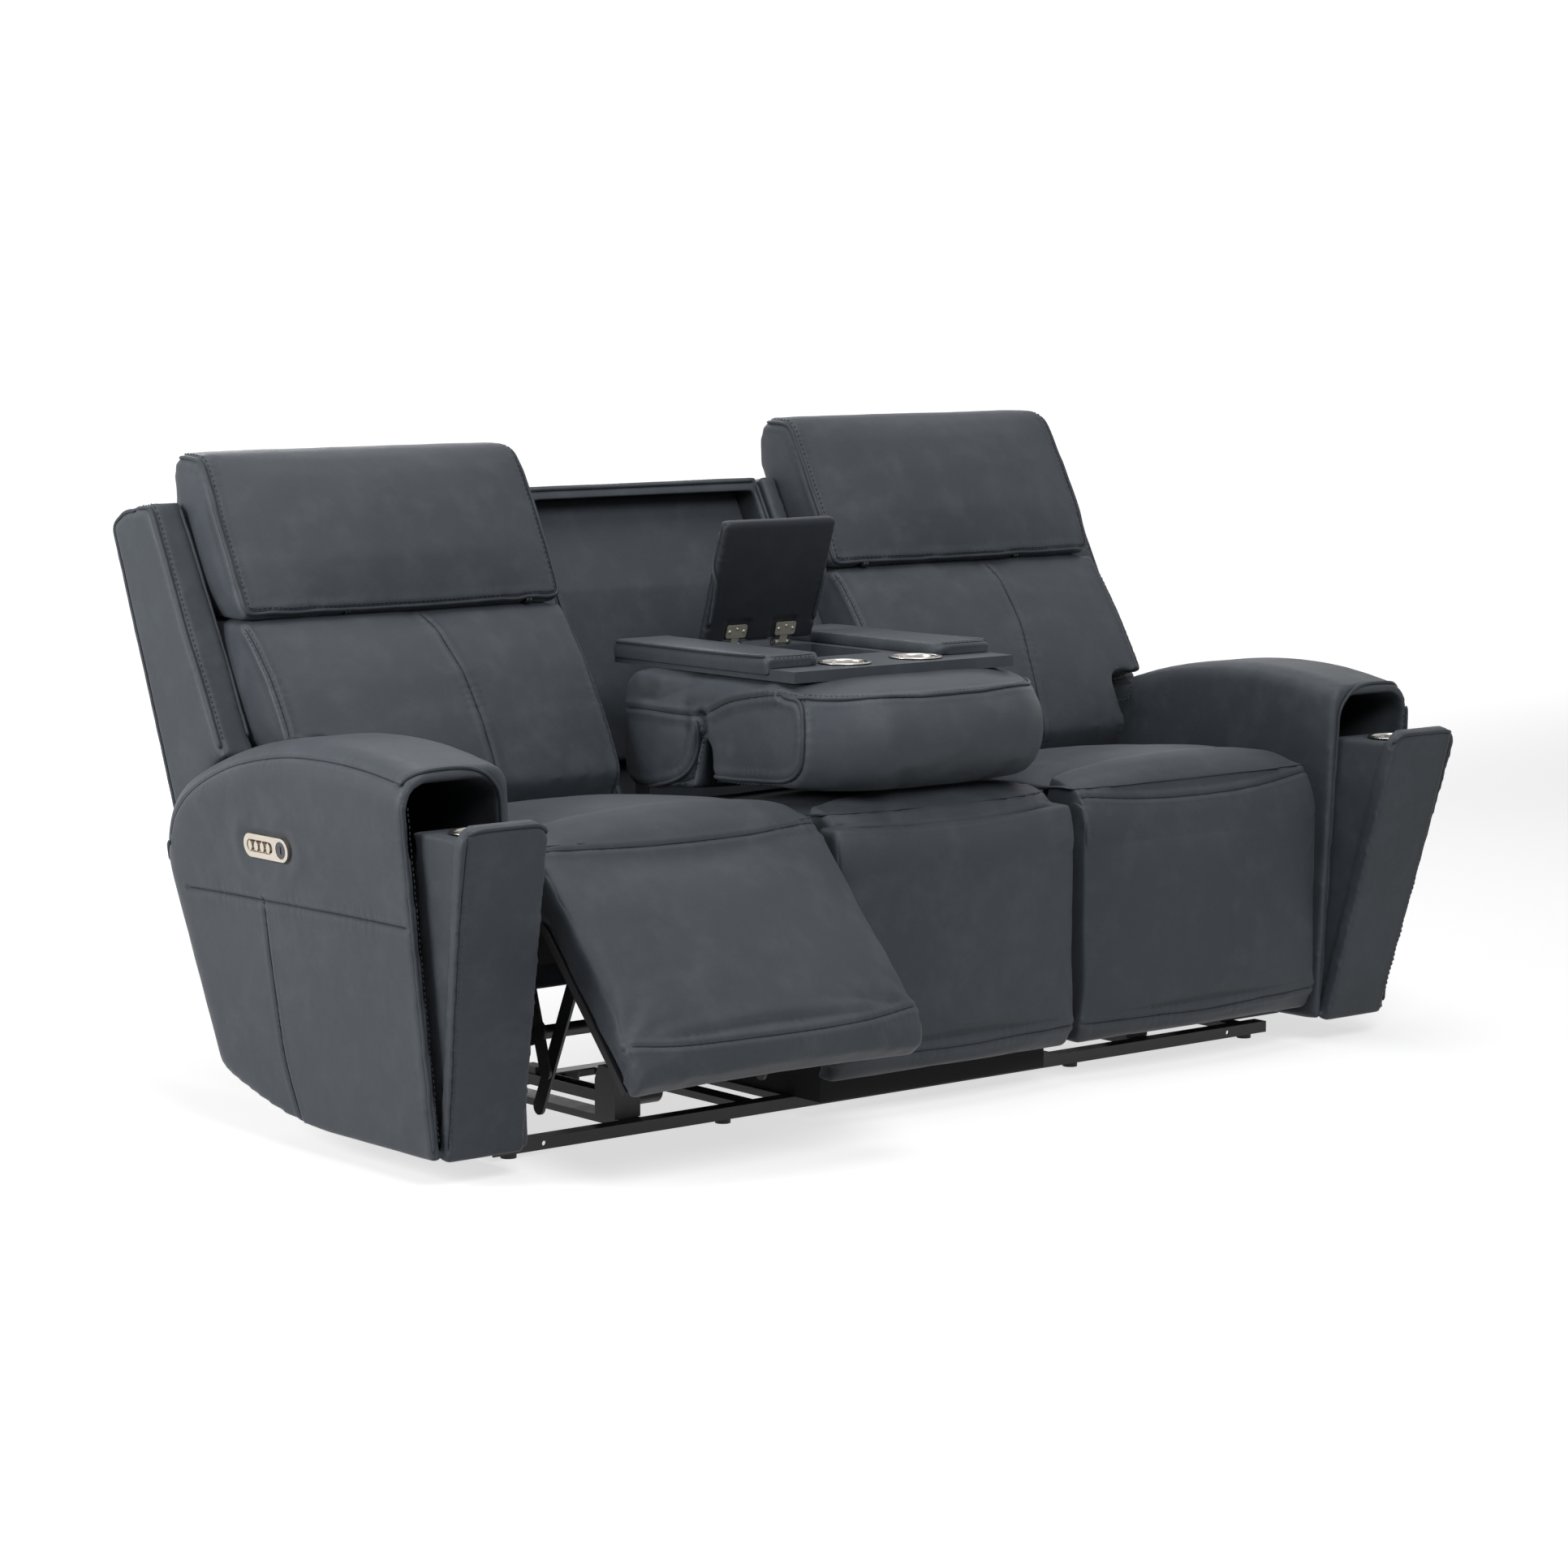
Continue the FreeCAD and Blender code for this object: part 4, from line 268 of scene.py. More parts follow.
slate = (0.058, 0.067, 0.079)
slate_worn = (0.098, 0.112, 0.126)
# Painted shade: slate_shade is the slate leather darkened as if in shade, used on the console lid and
# on the leather over the pivot brackets.
slate_shade = (0.024, 0.028, 0.034)
slate_shade_worn = (0.04, 0.046, 0.055)
hide = leather("slate_leather", slate, slate_worn)
hide_rear = leather("slate_vinyl_rear", (0.056, 0.065, 0.076), slate_worn, 0.7, 0.54)
hide_shade = leather("slate_leather_shade", slate_shade, slate_shade_worn, 0.8, 0.5)
hide_plate = leather("slate_leather_plate", slate, slate_worn, 0.8, 0.5, False)
hide_piping = leather("slate_leather_piping", (0.045, 0.052, 0.061), slate_worn, 0.6, 0.46, False)
# Painted shade: a near-black copy of the leather for the thin lines laid along the seams.
seam_shade = leather(
    "slate_leather_seam", (0.012, 0.014, 0.018), (0.02, 0.024, 0.03), 0.5, 0.6, False
)
boot_leather_shade = leather("slate_leather_boot", slate_shade, slate_shade_worn, 0.8, 0.5, False)
thread = plastic("navy_thread", (0.011, 0.014, 0.02), 0.6, 0.5)
black_steel = painted_steel("black_powder_coat", (0.014, 0.014, 0.016))
black_plastic = plastic("black_plastic", (0.016, 0.016, 0.018), 0.45)
foot_plastic = plastic("black_foot_plastic", (0.013, 0.013, 0.013), 0.6)
port_plastic = plastic("port_plastic", (0.03, 0.034, 0.042), 0.22, 0.05)
cup_steel = brushed_metal("brushed_cup_steel", (0.62, 0.6, 0.57), 0.24, "z")
nickel = brushed_metal("satin_nickel", (0.66, 0.6, 0.52), 0.28, "y")
hinge_nickel = brushed_metal("satin_nickel_hinge", (0.62, 0.58, 0.5), 0.36, "x", 0.6)
dust_cloth = cloth_liner("black_dust_cloth", (0.012, 0.012, 0.014))


# Surfaces
def new_piece(name, points, faces, material):
    """A smooth-shaded mesh of points, in metres, and faces, as an object of the scene."""
    mesh = bpy.data.meshes.new(name)
    mesh.from_pydata(points.tolist(), [], faces.tolist() if hasattr(faces, "tolist") else faces)
    mesh.update()
    piece = bpy.data.objects.new(name, mesh)
    scene.collection.objects.link(piece)
    mesh.materials.append(material)
    mesh.shade_smooth()
    return piece


def points_of(mesh):
    flat = np.empty(len(mesh.vertices) * 3)
    mesh.vertices.foreach_get("co", flat)
    return flat.reshape(-1, 3)


def normals_of(mesh):
    flat = np.empty(len(mesh.vertices) * 3)
    mesh.vertex_normals.foreach_get("vector", flat)
    return flat.reshape(-1, 3)


def edges_of(mesh):
    flat = np.empty(len(mesh.edges) * 2, dtype=np.int64)
    mesh.edges.foreach_get("vertices", flat)
    return flat.reshape(-1, 2)


def put_points(mesh, points):
    mesh.vertices.foreach_set("co", points.ravel())
    mesh.update()


def reworked(mesh, change):
    """Applies a change to the mesh as a bmesh."""
    work = bmesh.new()
    work.from_mesh(mesh)
    change(work)
    work.to_mesh(mesh)
    work.free()


def turn_outward(mesh):
    reworked(mesh, lambda work: bmesh.ops.recalc_face_normals(work, faces=work.faces))


def merge_corners(mesh):
    reworked(mesh, lambda work: bmesh.ops.remove_doubles(work, verts=work.verts, dist=1e-5))


def neighbour_mean(values, edges):
    """The mean of each point's edge neighbours."""
    count = len(values)
    ends = np.concatenate((edges[:, 0], edges[:, 1]))
    others = np.concatenate((edges[:, 1], edges[:, 0]))
    number = np.bincount(ends, minlength=count)
    columns = values.reshape(count, -1).T
    total = np.stack([np.bincount(ends, column[others], count) for column in columns], 1)
    return (total / np.maximum(number, 1)[:, None]).reshape(values.shape)


def rounded(points, edges, rounds, weight=0.6):
    """Each point moves towards its neighbours' mean, again and again, which rounds the edges."""
    for _ in range(rounds):
        points = points + weight * (neighbour_mean(points, edges) - points)
    return points


def ripple(points, length, seed):
    """Sum of seven sine waves in seeded directions, each near the given wavelength; -1 to 1."""
    dice = np.random.default_rng(seed)
    total = np.zeros(len(points))
    for _ in range(7):
        way = dice.normal(size=3)
        way = way / np.linalg.norm(way)
        wave = length * dice.uniform(0.7, 1.5)
        total += np.sin(points @ way * (2 * math.pi / wave) + dice.uniform(0, 2 * math.pi))
    return total / 7


def with_modifier(piece, kind, **settings):
    """The piece's mesh after one modifier, which is then removed."""
    modifier = piece.modifiers.new("Work", kind)
    for key, value in settings.items():
        setattr(modifier, key, value)
    graph = bpy.context.evaluated_depsgraph_get()
    mesh = bpy.data.meshes.new_from_object(piece.evaluated_get(graph))
    piece.modifiers.remove(modifier)
    old = piece.data
    piece.data = mesh
    bpy.data.meshes.remove(old)
    return mesh


cloth_frames = 20
cloth_pressure = 4.0
cloth_stretch = 26.0
cloth_bend = 6.0


def swell(piece, cap, hold):
    """Cloth pressure pushes the points outwards for twenty frames. Points with hold near 1 stay.
    A push m is shortened to cap * tanh(m / cap)."""
    start = points_of(piece.data)
    group = piece.vertex_groups.new(name="held")
    for level in np.unique(np.round(hold, 1)):
        members = np.flatnonzero(np.round(hold, 1) == level)
        group.add(members.tolist(), float(level), "REPLACE")
    cloth = piece.modifiers.new("Swell", "CLOTH")
    cloth.settings.use_pressure = True
    cloth.settings.uniform_pressure_force = cloth_pressure
    cloth.settings.vertex_group_mass = "held"
    cloth.settings.effector_weights.gravity = 0.0
    cloth.settings.quality = 4
    cloth.settings.tension_stiffness = cloth_stretch
    cloth.settings.compression_stiffness = cloth_stretch
    cloth.settings.bending_stiffness = cloth_bend
    cloth.point_cache.frame_start = 1
    cloth.point_cache.frame_end = cloth_frames
    for number in range(1, cloth_frames + 1):
        scene.frame_set(number)
    graph = bpy.context.evaluated_depsgraph_get()
    grown = bpy.data.meshes.new_from_object(piece.evaluated_get(graph))
    push = points_of(grown) - start
    bpy.data.meshes.remove(grown)
    piece.modifiers.remove(cloth)
    piece.vertex_groups.clear()
    scene.frame_set(1)
    push = rounded(push, edges_of(piece.data), 2)
    size = np.linalg.norm(push, axis=1)
    scale = np.where(size > 1e-9, cap * np.tanh(size / cap) / np.maximum(size, 1e-9), 0.0)
    put_points(piece.data, start + push * scale[:, None])


full_bend = 0.0005


def mark_edges(mesh):
    """Stores 0.5 + bend / full_bend, from 0 to 1, as the attribute edge: high on ridges, low in
    folds. The bend is how far a point stands out from its neighbours' mean."""
    points, edges = points_of(mesh), edges_of(mesh)
    bend = ((points - neighbour_mean(points, edges)) * normals_of(mesh)).sum(1)
    for _ in range(2):
        bend = neighbour_mean(bend, edges)
    value = np.clip(0.5 + bend / full_bend, 0.0, 1.0)
    mesh.attributes.new("edge", "FLOAT", "POINT").data.foreach_set("value", value)


# Seams: lines through corner points in millimetres, laid on the leather
def drawn(corners, spacing=4.0):
    """A smooth line through the corners, as a Catmull-Rom curve sampled about every spacing."""
    ends = np.array(corners, float)
    knots = np.concatenate((2 * ends[:1] - ends[1:2], ends, 2 * ends[-1:] - ends[-2:-1]))
    parts = []
    for first in range(len(ends) - 1):
        a, b, c, d = knots[first:first + 4]
        count = max(2, int(np.linalg.norm(c - b) / spacing))
        t = np.linspace(0, 1, count, endpoint=False)[:, None]
        curve = 2 * b + (c - a) * t + (2 * a - 5 * b + 4 * c - d) * t**2
        parts.append(0.5 * (curve + (3 * b - 3 * c + d - a) * t**3))
    return np.concatenate(parts + [ends[-1:]])


def unit(rows):
    return rows / np.linalg.norm(rows, axis=1)[:, None]


class Line:
    """A line on a surface: even points with the way along, outwards and aside at each."""

    def __init__(self, points, normals, spacing=0.004):
        for _ in range(3):
            inner = (points[:-2] + 2 * points[1:-1] + points[2:]) / 4
            points = np.concatenate((points[:1], inner, points[-1:]))
            inner = (normals[:-2] + 2 * normals[1:-1] + normals[2:]) / 4
            normals = np.concatenate((normals[:1], inner, normals[-1:]))
        steps = np.linalg.norm(np.diff(points, axis=0), axis=1)
        run = np.concatenate(([0], np.cumsum(np.maximum(steps, 1e-7))))
        self.length = run[-1]
        self.at = np.linspace(0, self.length, max(6, int(self.length / spacing)))
        self.points = np.stack([np.interp(self.at, run, points[:, i]) for i in range(3)], 1)
        normals = np.stack([np.interp(self.at, run, normals[:, i]) for i in range(3)], 1)
        self.along = unit(np.gradient(self.points, axis=0))
        normals = normals - (normals * self.along).sum(1)[:, None] * self.along
        self.normals = unit(normals)
        self.aside = np.cross(self.normals, self.along)

    def spot(self, at):
        """Points and their frames at distances along the line."""
        tables = (self.points, self.along, self.normals, self.aside)
        return [
            np.stack([np.interp(at, self.at, table[:, i]) for i in range(3)], 1)
            for table in tables
        ]


def surface_of(mesh):
    return BVHTree.FromPolygons(points_of(mesh).tolist(), [face.vertices for face in mesh.polygons])


def laid(surface, corners):
    """The drawn line brought to the nearest points of the surface."""
    hits = [surface.find_nearest(Vector(point)) for point in drawn(corners) * mm]
    return Line(np.array([hit[0] for hit in hits]), np.array([hit[1] for hit in hits]))


def sunk(surface, line):
    """The same line brought onto the surface along its own outward directions, from 30 mm outside
    to 30 mm inside."""
    start = line.points + line.normals * 0.03
    for index, (place, aim) in enumerate(zip(start.tolist(), (-line.normals).tolist())):
        hit = surface.ray_cast(Vector(place), Vector(aim), 0.06)
        if hit[0] is not None:
            line.points[index] = hit[0]
    return Line(line.points, line.normals)


def beside(points, line, reach):
    """Which points lie within reach of the line, how far from it, and how far along it."""
    low, high = line.points.min(0) - reach, line.points.max(0) + reach
    chosen = np.flatnonzero(((points > low) & (points < high)).all(1))
    gap, run = np.full(len(chosen), 9.0), np.zeros(len(chosen))
    for start in range(0, len(chosen), 8000):
        part = points[chosen[start:start + 8000]]
        away = ((part[:, None, :] - line.points[None, ::2, :]) ** 2).sum(2)
        best = away.argmin(1) * 2
        offset = part - line.points[best]
        along = (offset * line.along[best]).sum(1)
        rest = (offset**2).sum(1) - np.clip(along, -0.008, 0.008) ** 2
        gap[start:start + 8000] = np.sqrt(np.maximum(rest, 0))
        run[start:start + 8000] = line.at[best] + along
    near = gap < reach
    return chosen[near], gap[near] / mm, run[near]


def draw_in(mesh, line, depth, width, ridge, gather, seed):
    """Pulls the leather in along a seam: depth * exp(-(d / width)^2), a low ridge on each side,
    and gathers, which are waves along the seam that fade with the distance d."""
    points, normals = points_of(mesh), normals_of(mesh)
    chosen, gap, run = beside(points, line, 0.06)
    groove = -depth * np.exp(-((gap / width) ** 2))
    side = ridge * np.exp(-(((gap - 1.9 * width) / (0.9 * width)) ** 2))
    phase = np.random.default_rng(seed).uniform(0, 6.28, 3)
    wave = np.sin(run / 0.0145 * 6.28 + 1.9 * np.sin(run / 0.071 * 6.28 + phase[0]) + phase[1])
    strength = 0.5 + 0.5 * np.sin(run / 0.19 * 6.28 + phase[2])
    folds = -gather * strength * (0.5 + 0.5 * wave) * np.exp(-(((gap - 9) / 13) ** 2))
    points[chosen] += normals[chosen] * ((groove + side + folds) * mm)[:, None]
    put_points(mesh, points)


def ring_faces(rows, count):
    """Quads between neighbouring rings of count points, as one array."""
    row, here = np.arange(rows - 1)[:, None] * count, np.arange(count)[None, :]
    there = (here + 1) % count
    quads = (row + here, row + there, row + count + there, row + count + here)
    return np.stack(np.broadcast_arrays(*quads), -1).reshape(-1, 4)


def cord_along(line, radius, lift, count=9):
    """A round cord: rings of radius about the line, raised by lift, smaller towards both ends."""
    at = np.linspace(0, line.length, max(5, int(line.length / 0.005)))
    centre, along, up, side = line.spot(at)
    angle = np.arange(count) * 2 * math.pi / count
    ring = side[:, None] * np.cos(angle)[:, None] + up[:, None] * np.sin(angle)[:, None]
    size = radius * mm * np.clip(np.minimum(at, at[-1] - at) / (2 * radius * mm) + 0.35, 0, 1)
    points = (centre + up * lift * mm)[:, None] + ring * size[:, None, None]
    caps = np.arange(count)[::-1].tolist(), (np.arange(count) + (len(at) - 1) * count).tolist()
    return points.reshape(-1, 3), ring_faces(len(at), count).tolist() + list(caps)


def thread_row(line, aside, length=6.0, gap=3.2, radius=1.0):
    """Stitches: four-sided spindles sunk by half into the leather, in a row beside the line."""
    step = (length + gap) * mm
    at = np.arange(step, line.length - step, step)
    centre, along, up, side = line.spot(at)
    centre = centre + side * aside * mm + up * 0.2 * mm
    row = np.array([-0.5, -0.3, 0.3, 0.5]) * length * mm
    size = np.array([0.3, 1.0, 1.0, 0.3]) * radius * mm
    dip = np.array([-0.8, 0.0, 0.0, -0.8]) * radius * mm
    angle = (np.arange(4) + 0.5) * math.pi / 2
    across = (size[:, None] * np.cos(angle))[None, :, :, None] * side[:, None, None]
    rise = (dip[:, None] + size[:, None] * np.sin(angle))[None, :, :, None] * up[:, None, None]
    points = centre[:, None, None] + along[:, None, None] * row[None, :, None, None] + across + rise
    caps = np.array([[3, 2, 1, 0], [12, 13, 14, 15]])
    shape = np.concatenate((ring_faces(4, 4), caps))
    faces = (shape[None] + np.arange(len(at))[:, None, None] * 16).reshape(-1, 4)
    return points.reshape(-1, 3), faces.tolist()


def carried(piece, body):
    """A body's name makes the piece ride on it; with a tuple the piece rides on no body, and its
    placement is baked into its points.
    """
    if isinstance(body, tuple):
        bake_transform(piece)
    else:
        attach(piece, body)


def one_piece(name, parts, material, body):
    """Several lists of points and faces as one piece."""
    starts = np.cumsum([0] + [len(points) for points, _ in parts])
    faces = [
        [corner + int(start) for corner in face]
        for start, (_, shape) in zip(starts, parts) for face in shape
    ]
    piece = new_piece(name, np.concatenate([points for points, _ in parts]), faces, material)
    carried(piece, body)
    return piece


# Kind of seam: depth, width, ridge and gather for draw_in, then each thread row's distance aside
SEAMS = {
    "piped": (2.2, 6.5, 0.6, 0.7, (8.5,)),
    "cord": (1.6, 5.5, 0.3, 0.3, ()),
    "double": (2.0, 4.2, 0.8, 0.7, (-4.2, 4.2)),
    "single": (1.6, 4.0, 0.6, 0.4, (4.6,)),
    "plain": (2.4, 4.5, 0.8, 0.4, ()),
    "band": (2.6, 4.0, 2.2, 0.5, (-5.0,)),
    "tuck": (12.0, 10.0, 1.0, 0.0, ()),
}
# Radius and lift of the cord in each kind that has one; the others but the tuck get a thin dark join, a
# line of painted shade along the seam
CORDS = {"piped": (3.2, 2.2), "cord": (3.2, 2.2), "band": (5.0, 1.0)}


def sew(piece, body, seams):
    """Presses each seam into the piece, then lays cord, a dark seam line of painted shade, and thread
    on the result.
    """
    mesh = piece.data
    name = piece.name.replace("_cover", "")
    surface = surface_of(mesh)
    lines = [laid(surface, corners) for _, *corners in seams]
    for number, (kind, *_) in enumerate(seams):
        depth, width, ridge, gather, _ = SEAMS[kind]
        draw_in(mesh, lines[number], depth, width, ridge, gather, number + len(name))
    surface = surface_of(mesh)
    cords, shade_lines, threads = [], [], []
    for line, (kind, *_) in zip(lines, seams):
        line = sunk(surface, line)
        if kind in CORDS:
            cords.append(cord_along(line, *CORDS[kind]))
        elif kind != "tuck":
            shade_lines.append(cord_along(line, 1.0, 0.0, 6))
        for aside in SEAMS[kind][4]:
            threads.append(thread_row(line, aside))
    for ending, parts, material in (
        ("piping", cords, hide_piping), ("seam_joins", shade_lines, seam_shade), ("thread", threads, thread),
    ):
        if parts:
            one_piece(f"{name}_{ending}", parts, material, body)


def there_and_back(half, middle):
    """The corners of one half, the middle one, then the half mirrored about the middle's X."""
    return [*half, middle, *[(2 * middle[0] - x, y, z) for x, y, z in half[::-1]]]


def mirrored(seams):
    """The same seams on the other hand; the corners run backwards so that aside stays inside."""
    return [(kind, *[(-x, y, z) for x, y, z in corners[::-1]]) for kind, *corners in seams]


def moved(seams, dy, dz):
    """The same seams, each corner farther back by dy and higher by dz."""
    return [(kind, *[(x, y + dy, z + dz) for x, y, z in corners]) for kind, *corners in seams]


def upholster(
    node, body, seams=(), material=None, cell=8, rounds=4, shrink=0, cap=0, fill=0.6,
    soft=1.0, shape=None, dress=None,
):
    """Leather over a CAD solid. A merged copy is remeshed to even cells, its edges rounded, drawn
    in by shrink except near seams, swollen by Cloth by up to cap, subdivided once, rippled and
    then sewn. shape changes the points before the swelling, and dress the mesh after it."""
    mesh = nodes[node].data.copy()
    merge_corners(mesh)
    piece = bpy.data.objects.new(f"{node}_cover", mesh)
    scene.collection.objects.link(piece)
    with_modifier(piece, "REMESH", mode="VOXEL", voxel_size=cell * mm)
    mesh = piece.data
    points = rounded(points_of(mesh), edges_of(mesh), rounds)
    put_points(mesh, shape(points) if shape else points)
    if cap:
        surface, points = surface_of(mesh), points_of(mesh)
        hold = np.zeros(len(points))
        for _, *corners in seams:
            chosen, gap, _ = beside(points, laid(surface, corners), 0.03)
            hold[chosen] = np.maximum(hold[chosen], np.clip(1.3 - gap / 16, 0, 1))
        put_points(mesh, points - normals_of(mesh) * (shrink * (1 - 0.7 * hold) * mm)[:, None])
        swell(piece, cap * mm, hold)
    mesh = with_modifier(piece, "SUBSURF", levels=render_levels, render_levels=render_levels)
    points = points_of(mesh)
    slow = ripple(points, 0.16, len(node)) * 1.1 + ripple(points, 0.055, len(node) + 1) * 0.35
    points = points + normals_of(mesh) * (slow * soft * mm)[:, None]
    put_points(mesh, points)
    if dress:
        dress(mesh)
    mesh.materials.clear()
    mesh.materials.append(material or hide)
    mesh.shade_smooth()
    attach(piece, body)
    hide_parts(node)
    covers[node] = piece
    sew(piece, body, seams)


covers = {}


# Arms
arm_seams = [
    ("single", (-1090, 350, 470), (-1096, 328, 514), (-1098, 266, 566), (-1099, 181, 604),
     (-1099, 92, 625), (-1099, -18, 640), (-1099, -134, 643), (-1099, -230, 639), (-1098, -322, 628)),
    ("cord", (-1098, -318, 626), (-1087, -325, 640), (-1060, -335, 648), (-1006, -335, 650),
     (-966, -340, 642), (-941, -342, 622), (-926, -342, 580), (-930, -342, 400), (-930, -342, 60)),
    ("piped", (-1108, -342, 600), (-1104, -342, 540), (-1098, -342, 477), (-1084, -342, 330),
     (-1068, -342, 188), (-1056, -342, 60)),
    ("double", (-1098, 300, 398), (-1105, 200, 400), (-1109, 40, 402), (-1110, -120, 404),
     (-1108, -250, 405), (-1102, -322, 406)),
    ("double", (-1100, 77, 400), (-1090, 74, 340), (-1080, 72, 285), (-1067, 60, 154), (-1057, 30, 56)),
    ("cord", (-1090, 390, 430), (-1094, 380, 455), (-1090, 350, 470)),
]


def dress_arm(mesh):
    """Leather drawn in round the control plate and puffed beyond it: d is the distance to the
    plate's stadium outline, -2.2 exp(-(d/7)^2) + 2.4 exp(-((d-26)/15)^2) millimetres."""
    points, normals = points_of(mesh), normals_of(mesh)
    along = np.clip(points[:, 1], 0.004, 0.092)
    gap = np.hypot(points[:, 1] - along, points[:, 2] - 0.492) / mm - 19
    outer = np.abs(points[:, 0]) > 1.06
    push = -2.2 * np.exp(-((np.maximum(gap, 0) / 7) ** 2)) + 2.4 * np.exp(-(((gap - 26) / 15) ** 2))
    fine = ripple(points, 0.03, 5) * 0.8 * np.exp(-(((gap - 22) / 18) ** 2))
    points += normals * ((push + fine) * outer * mm)[:, None]
    put_points(mesh, points)


tray_seams = [
    ("single", (-1078, -473, 560), (-1074, -450, 430), (-1070, -420, 300), (-1066, -390, 150),
     (-1062, -360, 60)),
    ("cord", (-1078, -473, 566), (-1040, -478, 572), (-985, -480, 573), (-930, -478, 572),
     (-896, -473, 566)),
]


def rim_plane(hand):
    """The middle of the tray cup's flange and the way its axis points."""
    cup = points_of(nodes[f"{hand}_tray_cup"].data)
    middle = (cup.min(0) + cup.max(0)) / 2
    rim = cup[np.linalg.norm((cup - middle)[:, :2], axis=1) > 0.0445]
    centre = (rim.min(0) + rim.max(0)) / 2
    way = np.linalg.svd(rim - centre)[2][2]
    return centre, way * np.sign(way[2])


def round_the_cup(hand):
    """Keeps the tray's leather 2.5 mm under the plane of the cup's rim: wholly within 48 mm of its
    axis, and not at all beyond 58 mm."""
    centre, way = rim_plane(hand)

    def lower(mesh):
        points = points_of(mesh)
        rise = (points - centre) @ way
        away = np.linalg.norm(points - centre - rise[:, None] * way, axis=1)
        near = np.clip((0.058 - away) / 0.010, 0, 1) * (rise > -0.012)
        points -= way * (np.clip(rise + 0.0025, 0, 0.02) * near)[:, None]
        put_points(mesh, points)

    return lower


# Seats and footrests
open_pad_seams = [
    ("double", (-862, -560, 227), (-760, -590, 228), (-571, -600, 226), (-424, -597, 228),
     (-283, -565, 229)),
]
right_pad_seams = [
    ("double", (283, -350, 105), (420, -378, 102), (571, -382, 100), (720, -378, 104),
     (860, -350, 109)),
]
middle_panel_seams = [
    ("double", (-268, -350, 107), (-150, -376, 105), (0, -382, 103), (150, -376, 105),
     (268, -350, 107)),
]


# Backs and headrests
def full_at_the_foot(points):
    """The headrest's lowest 50 mm reach down another 7 mm, to rest on the back cushion."""
    low = points[:, 2].min()
    share = np.clip((low + 0.05 - points[:, 2]) / 0.05, 0, 1)
    return points - np.array((0, 0, 0.007)) * share[:, None]


headrest_rim = [
    (-958, 545, 1090), (-962, 503, 1088), (-964, 463, 1080), (-964, 424, 1028), (-964, 396, 975),
    (-964, 366, 923), (-964, 346, 884), (-962, 332, 846), (-950, 322, 828), (-900, 312, 824),
    (-780, 308, 822),
]
headrest_seams = [("piped", *there_and_back(headrest_rim, (-635, 306, 822)))]


def down_the_back(xs, top):
    """A seam down a back cushion, from its own top corners to the lower ones that all share."""
    path = top + [(175, 662), (150, 600), (130, 540), (120, 480), (122, 440)]
    return ("double", *[(x, y, z) for x, (y, z) in zip(xs, path)])


outer_xs = (-966, -968, -968, -968, -968, -966, -964, -960, -958)
inner_xs = (-304, -302, -302, -302, -302, -304, -306, -310, -312)
left_top = [(330, 815), (288, 798), (240, 756), (200, 706)]
right_top = [(344, 841), (300, 820), (250, 772), (206, 714)]
back_seams = [
    down_the_back(outer_xs, left_top),
    down_the_back(inner_xs, left_top),
    ("double", (-617, 318, 818), (-613, 284, 798), (-609, 239, 756), (-602, 202, 706),
     (-598, 178, 662), (-593, 150, 600), (-590, 132, 540), (-588, 122, 470)),
]
right_back_seams = [
    down_the_back([-x for x in outer_xs], right_top),
    down_the_back([-x for x in inner_xs], right_top),
    ("double", (672, 332, 838), (668, 290, 812), (664, 239, 756), (657, 202, 706),
     (650, 178, 662), (645, 150, 600), (642, 132, 540), (640, 122, 470)),
]
shell_seams = [
    ("piped", (-1034, 560, 1012), (-1034, 520, 1010), (-1034, 496, 996), (-1034, 466, 938),
     (-1034, 427, 860), (-1034, 390, 789), (-1034, 345, 712), (-1034, 298, 622)),
    ("cord", (-972, 500, 1000), (-970, 468, 938), (-968, 429, 860), (-966, 392, 789),
     (-966, 347, 712), (-966, 300, 640)),
    ("cord", (-1033, 560, 1003), (-1033, 590, 994), (-1034, 630, 968), (-1034, 601, 890),
     (-1034, 530, 716), (-1034, 460, 540), (-1034, 432, 478)),
    ("double", (-1010, 640, 930), (-840, 640, 926), (-650, 640, 925), (-460, 640, 926),
     (-290, 640, 930)),
    ("double", (-930, 420, 380), (-790, 420, 376), (-620, 420, 375), (-450, 420, 376),
     (-290, 420, 380)),
    ("cord", (-275, 634, 960), (-275, 600, 890), (-275, 530, 716), (-275, 460, 540),
     (-275, 400, 380), (-275, 330, 200)),
]


# Console, folded down in the middle
def roll_in_plan(points):
    """The front roll is rounded in plan: beyond |X| 130 its front moves back by the square of the
    rest. The rear part stands out 14 mm at its ends, over the pivot brackets."""
    x, y, z = points.T.copy()
    over = np.clip((np.abs(x) / mm - 130) / 132, 0, 1)
    front = np.clip((-0.10 - y) / 0.20, 0, 1)
    y = y + over**2 * front * 0.105
    rear = np.clip((y - 0.05) / 0.07, 0, 1)
    x = x + np.sign(x) * 0.014 * rear * np.clip((np.abs(x) - 0.2) / 0.05, 0, 1)
    return np.stack((x, y, z), 1)


console_end_seams = [
    ("piped", (-266, -200, 700), (-266, -245, 695), (-266, -256, 657), (-266, -256, 603),
     (-266, -243, 569), (-266, -198, 552), (-266, -91, 545), (-264, 5, 541)),
    ("piped", (-266, 26, 636), (-266, 24, 606), (-266, 46, 552), (-266, 88, 527),
     (-264, 150, 520), (-262, 215, 520)),
    ("plain", (-268, 200, 646), (-268, 141, 647), (-268, 20, 646), (-268, -70, 677), (-266, -196, 700)),
    ("tuck", (-270, 12, 640), (-270, 10, 606), (-270, 30, 552), (-268, 60, 520)),
]
console_rim = [(-266, -200, 702), (-256, -254, 708), (-205, -312, 714), (-100, -338, 716)]
console_seams = [("piped", *there_and_back(console_rim, (0, -345, 716)))]
console_seams += console_end_seams + mirrored(console_end_seams)


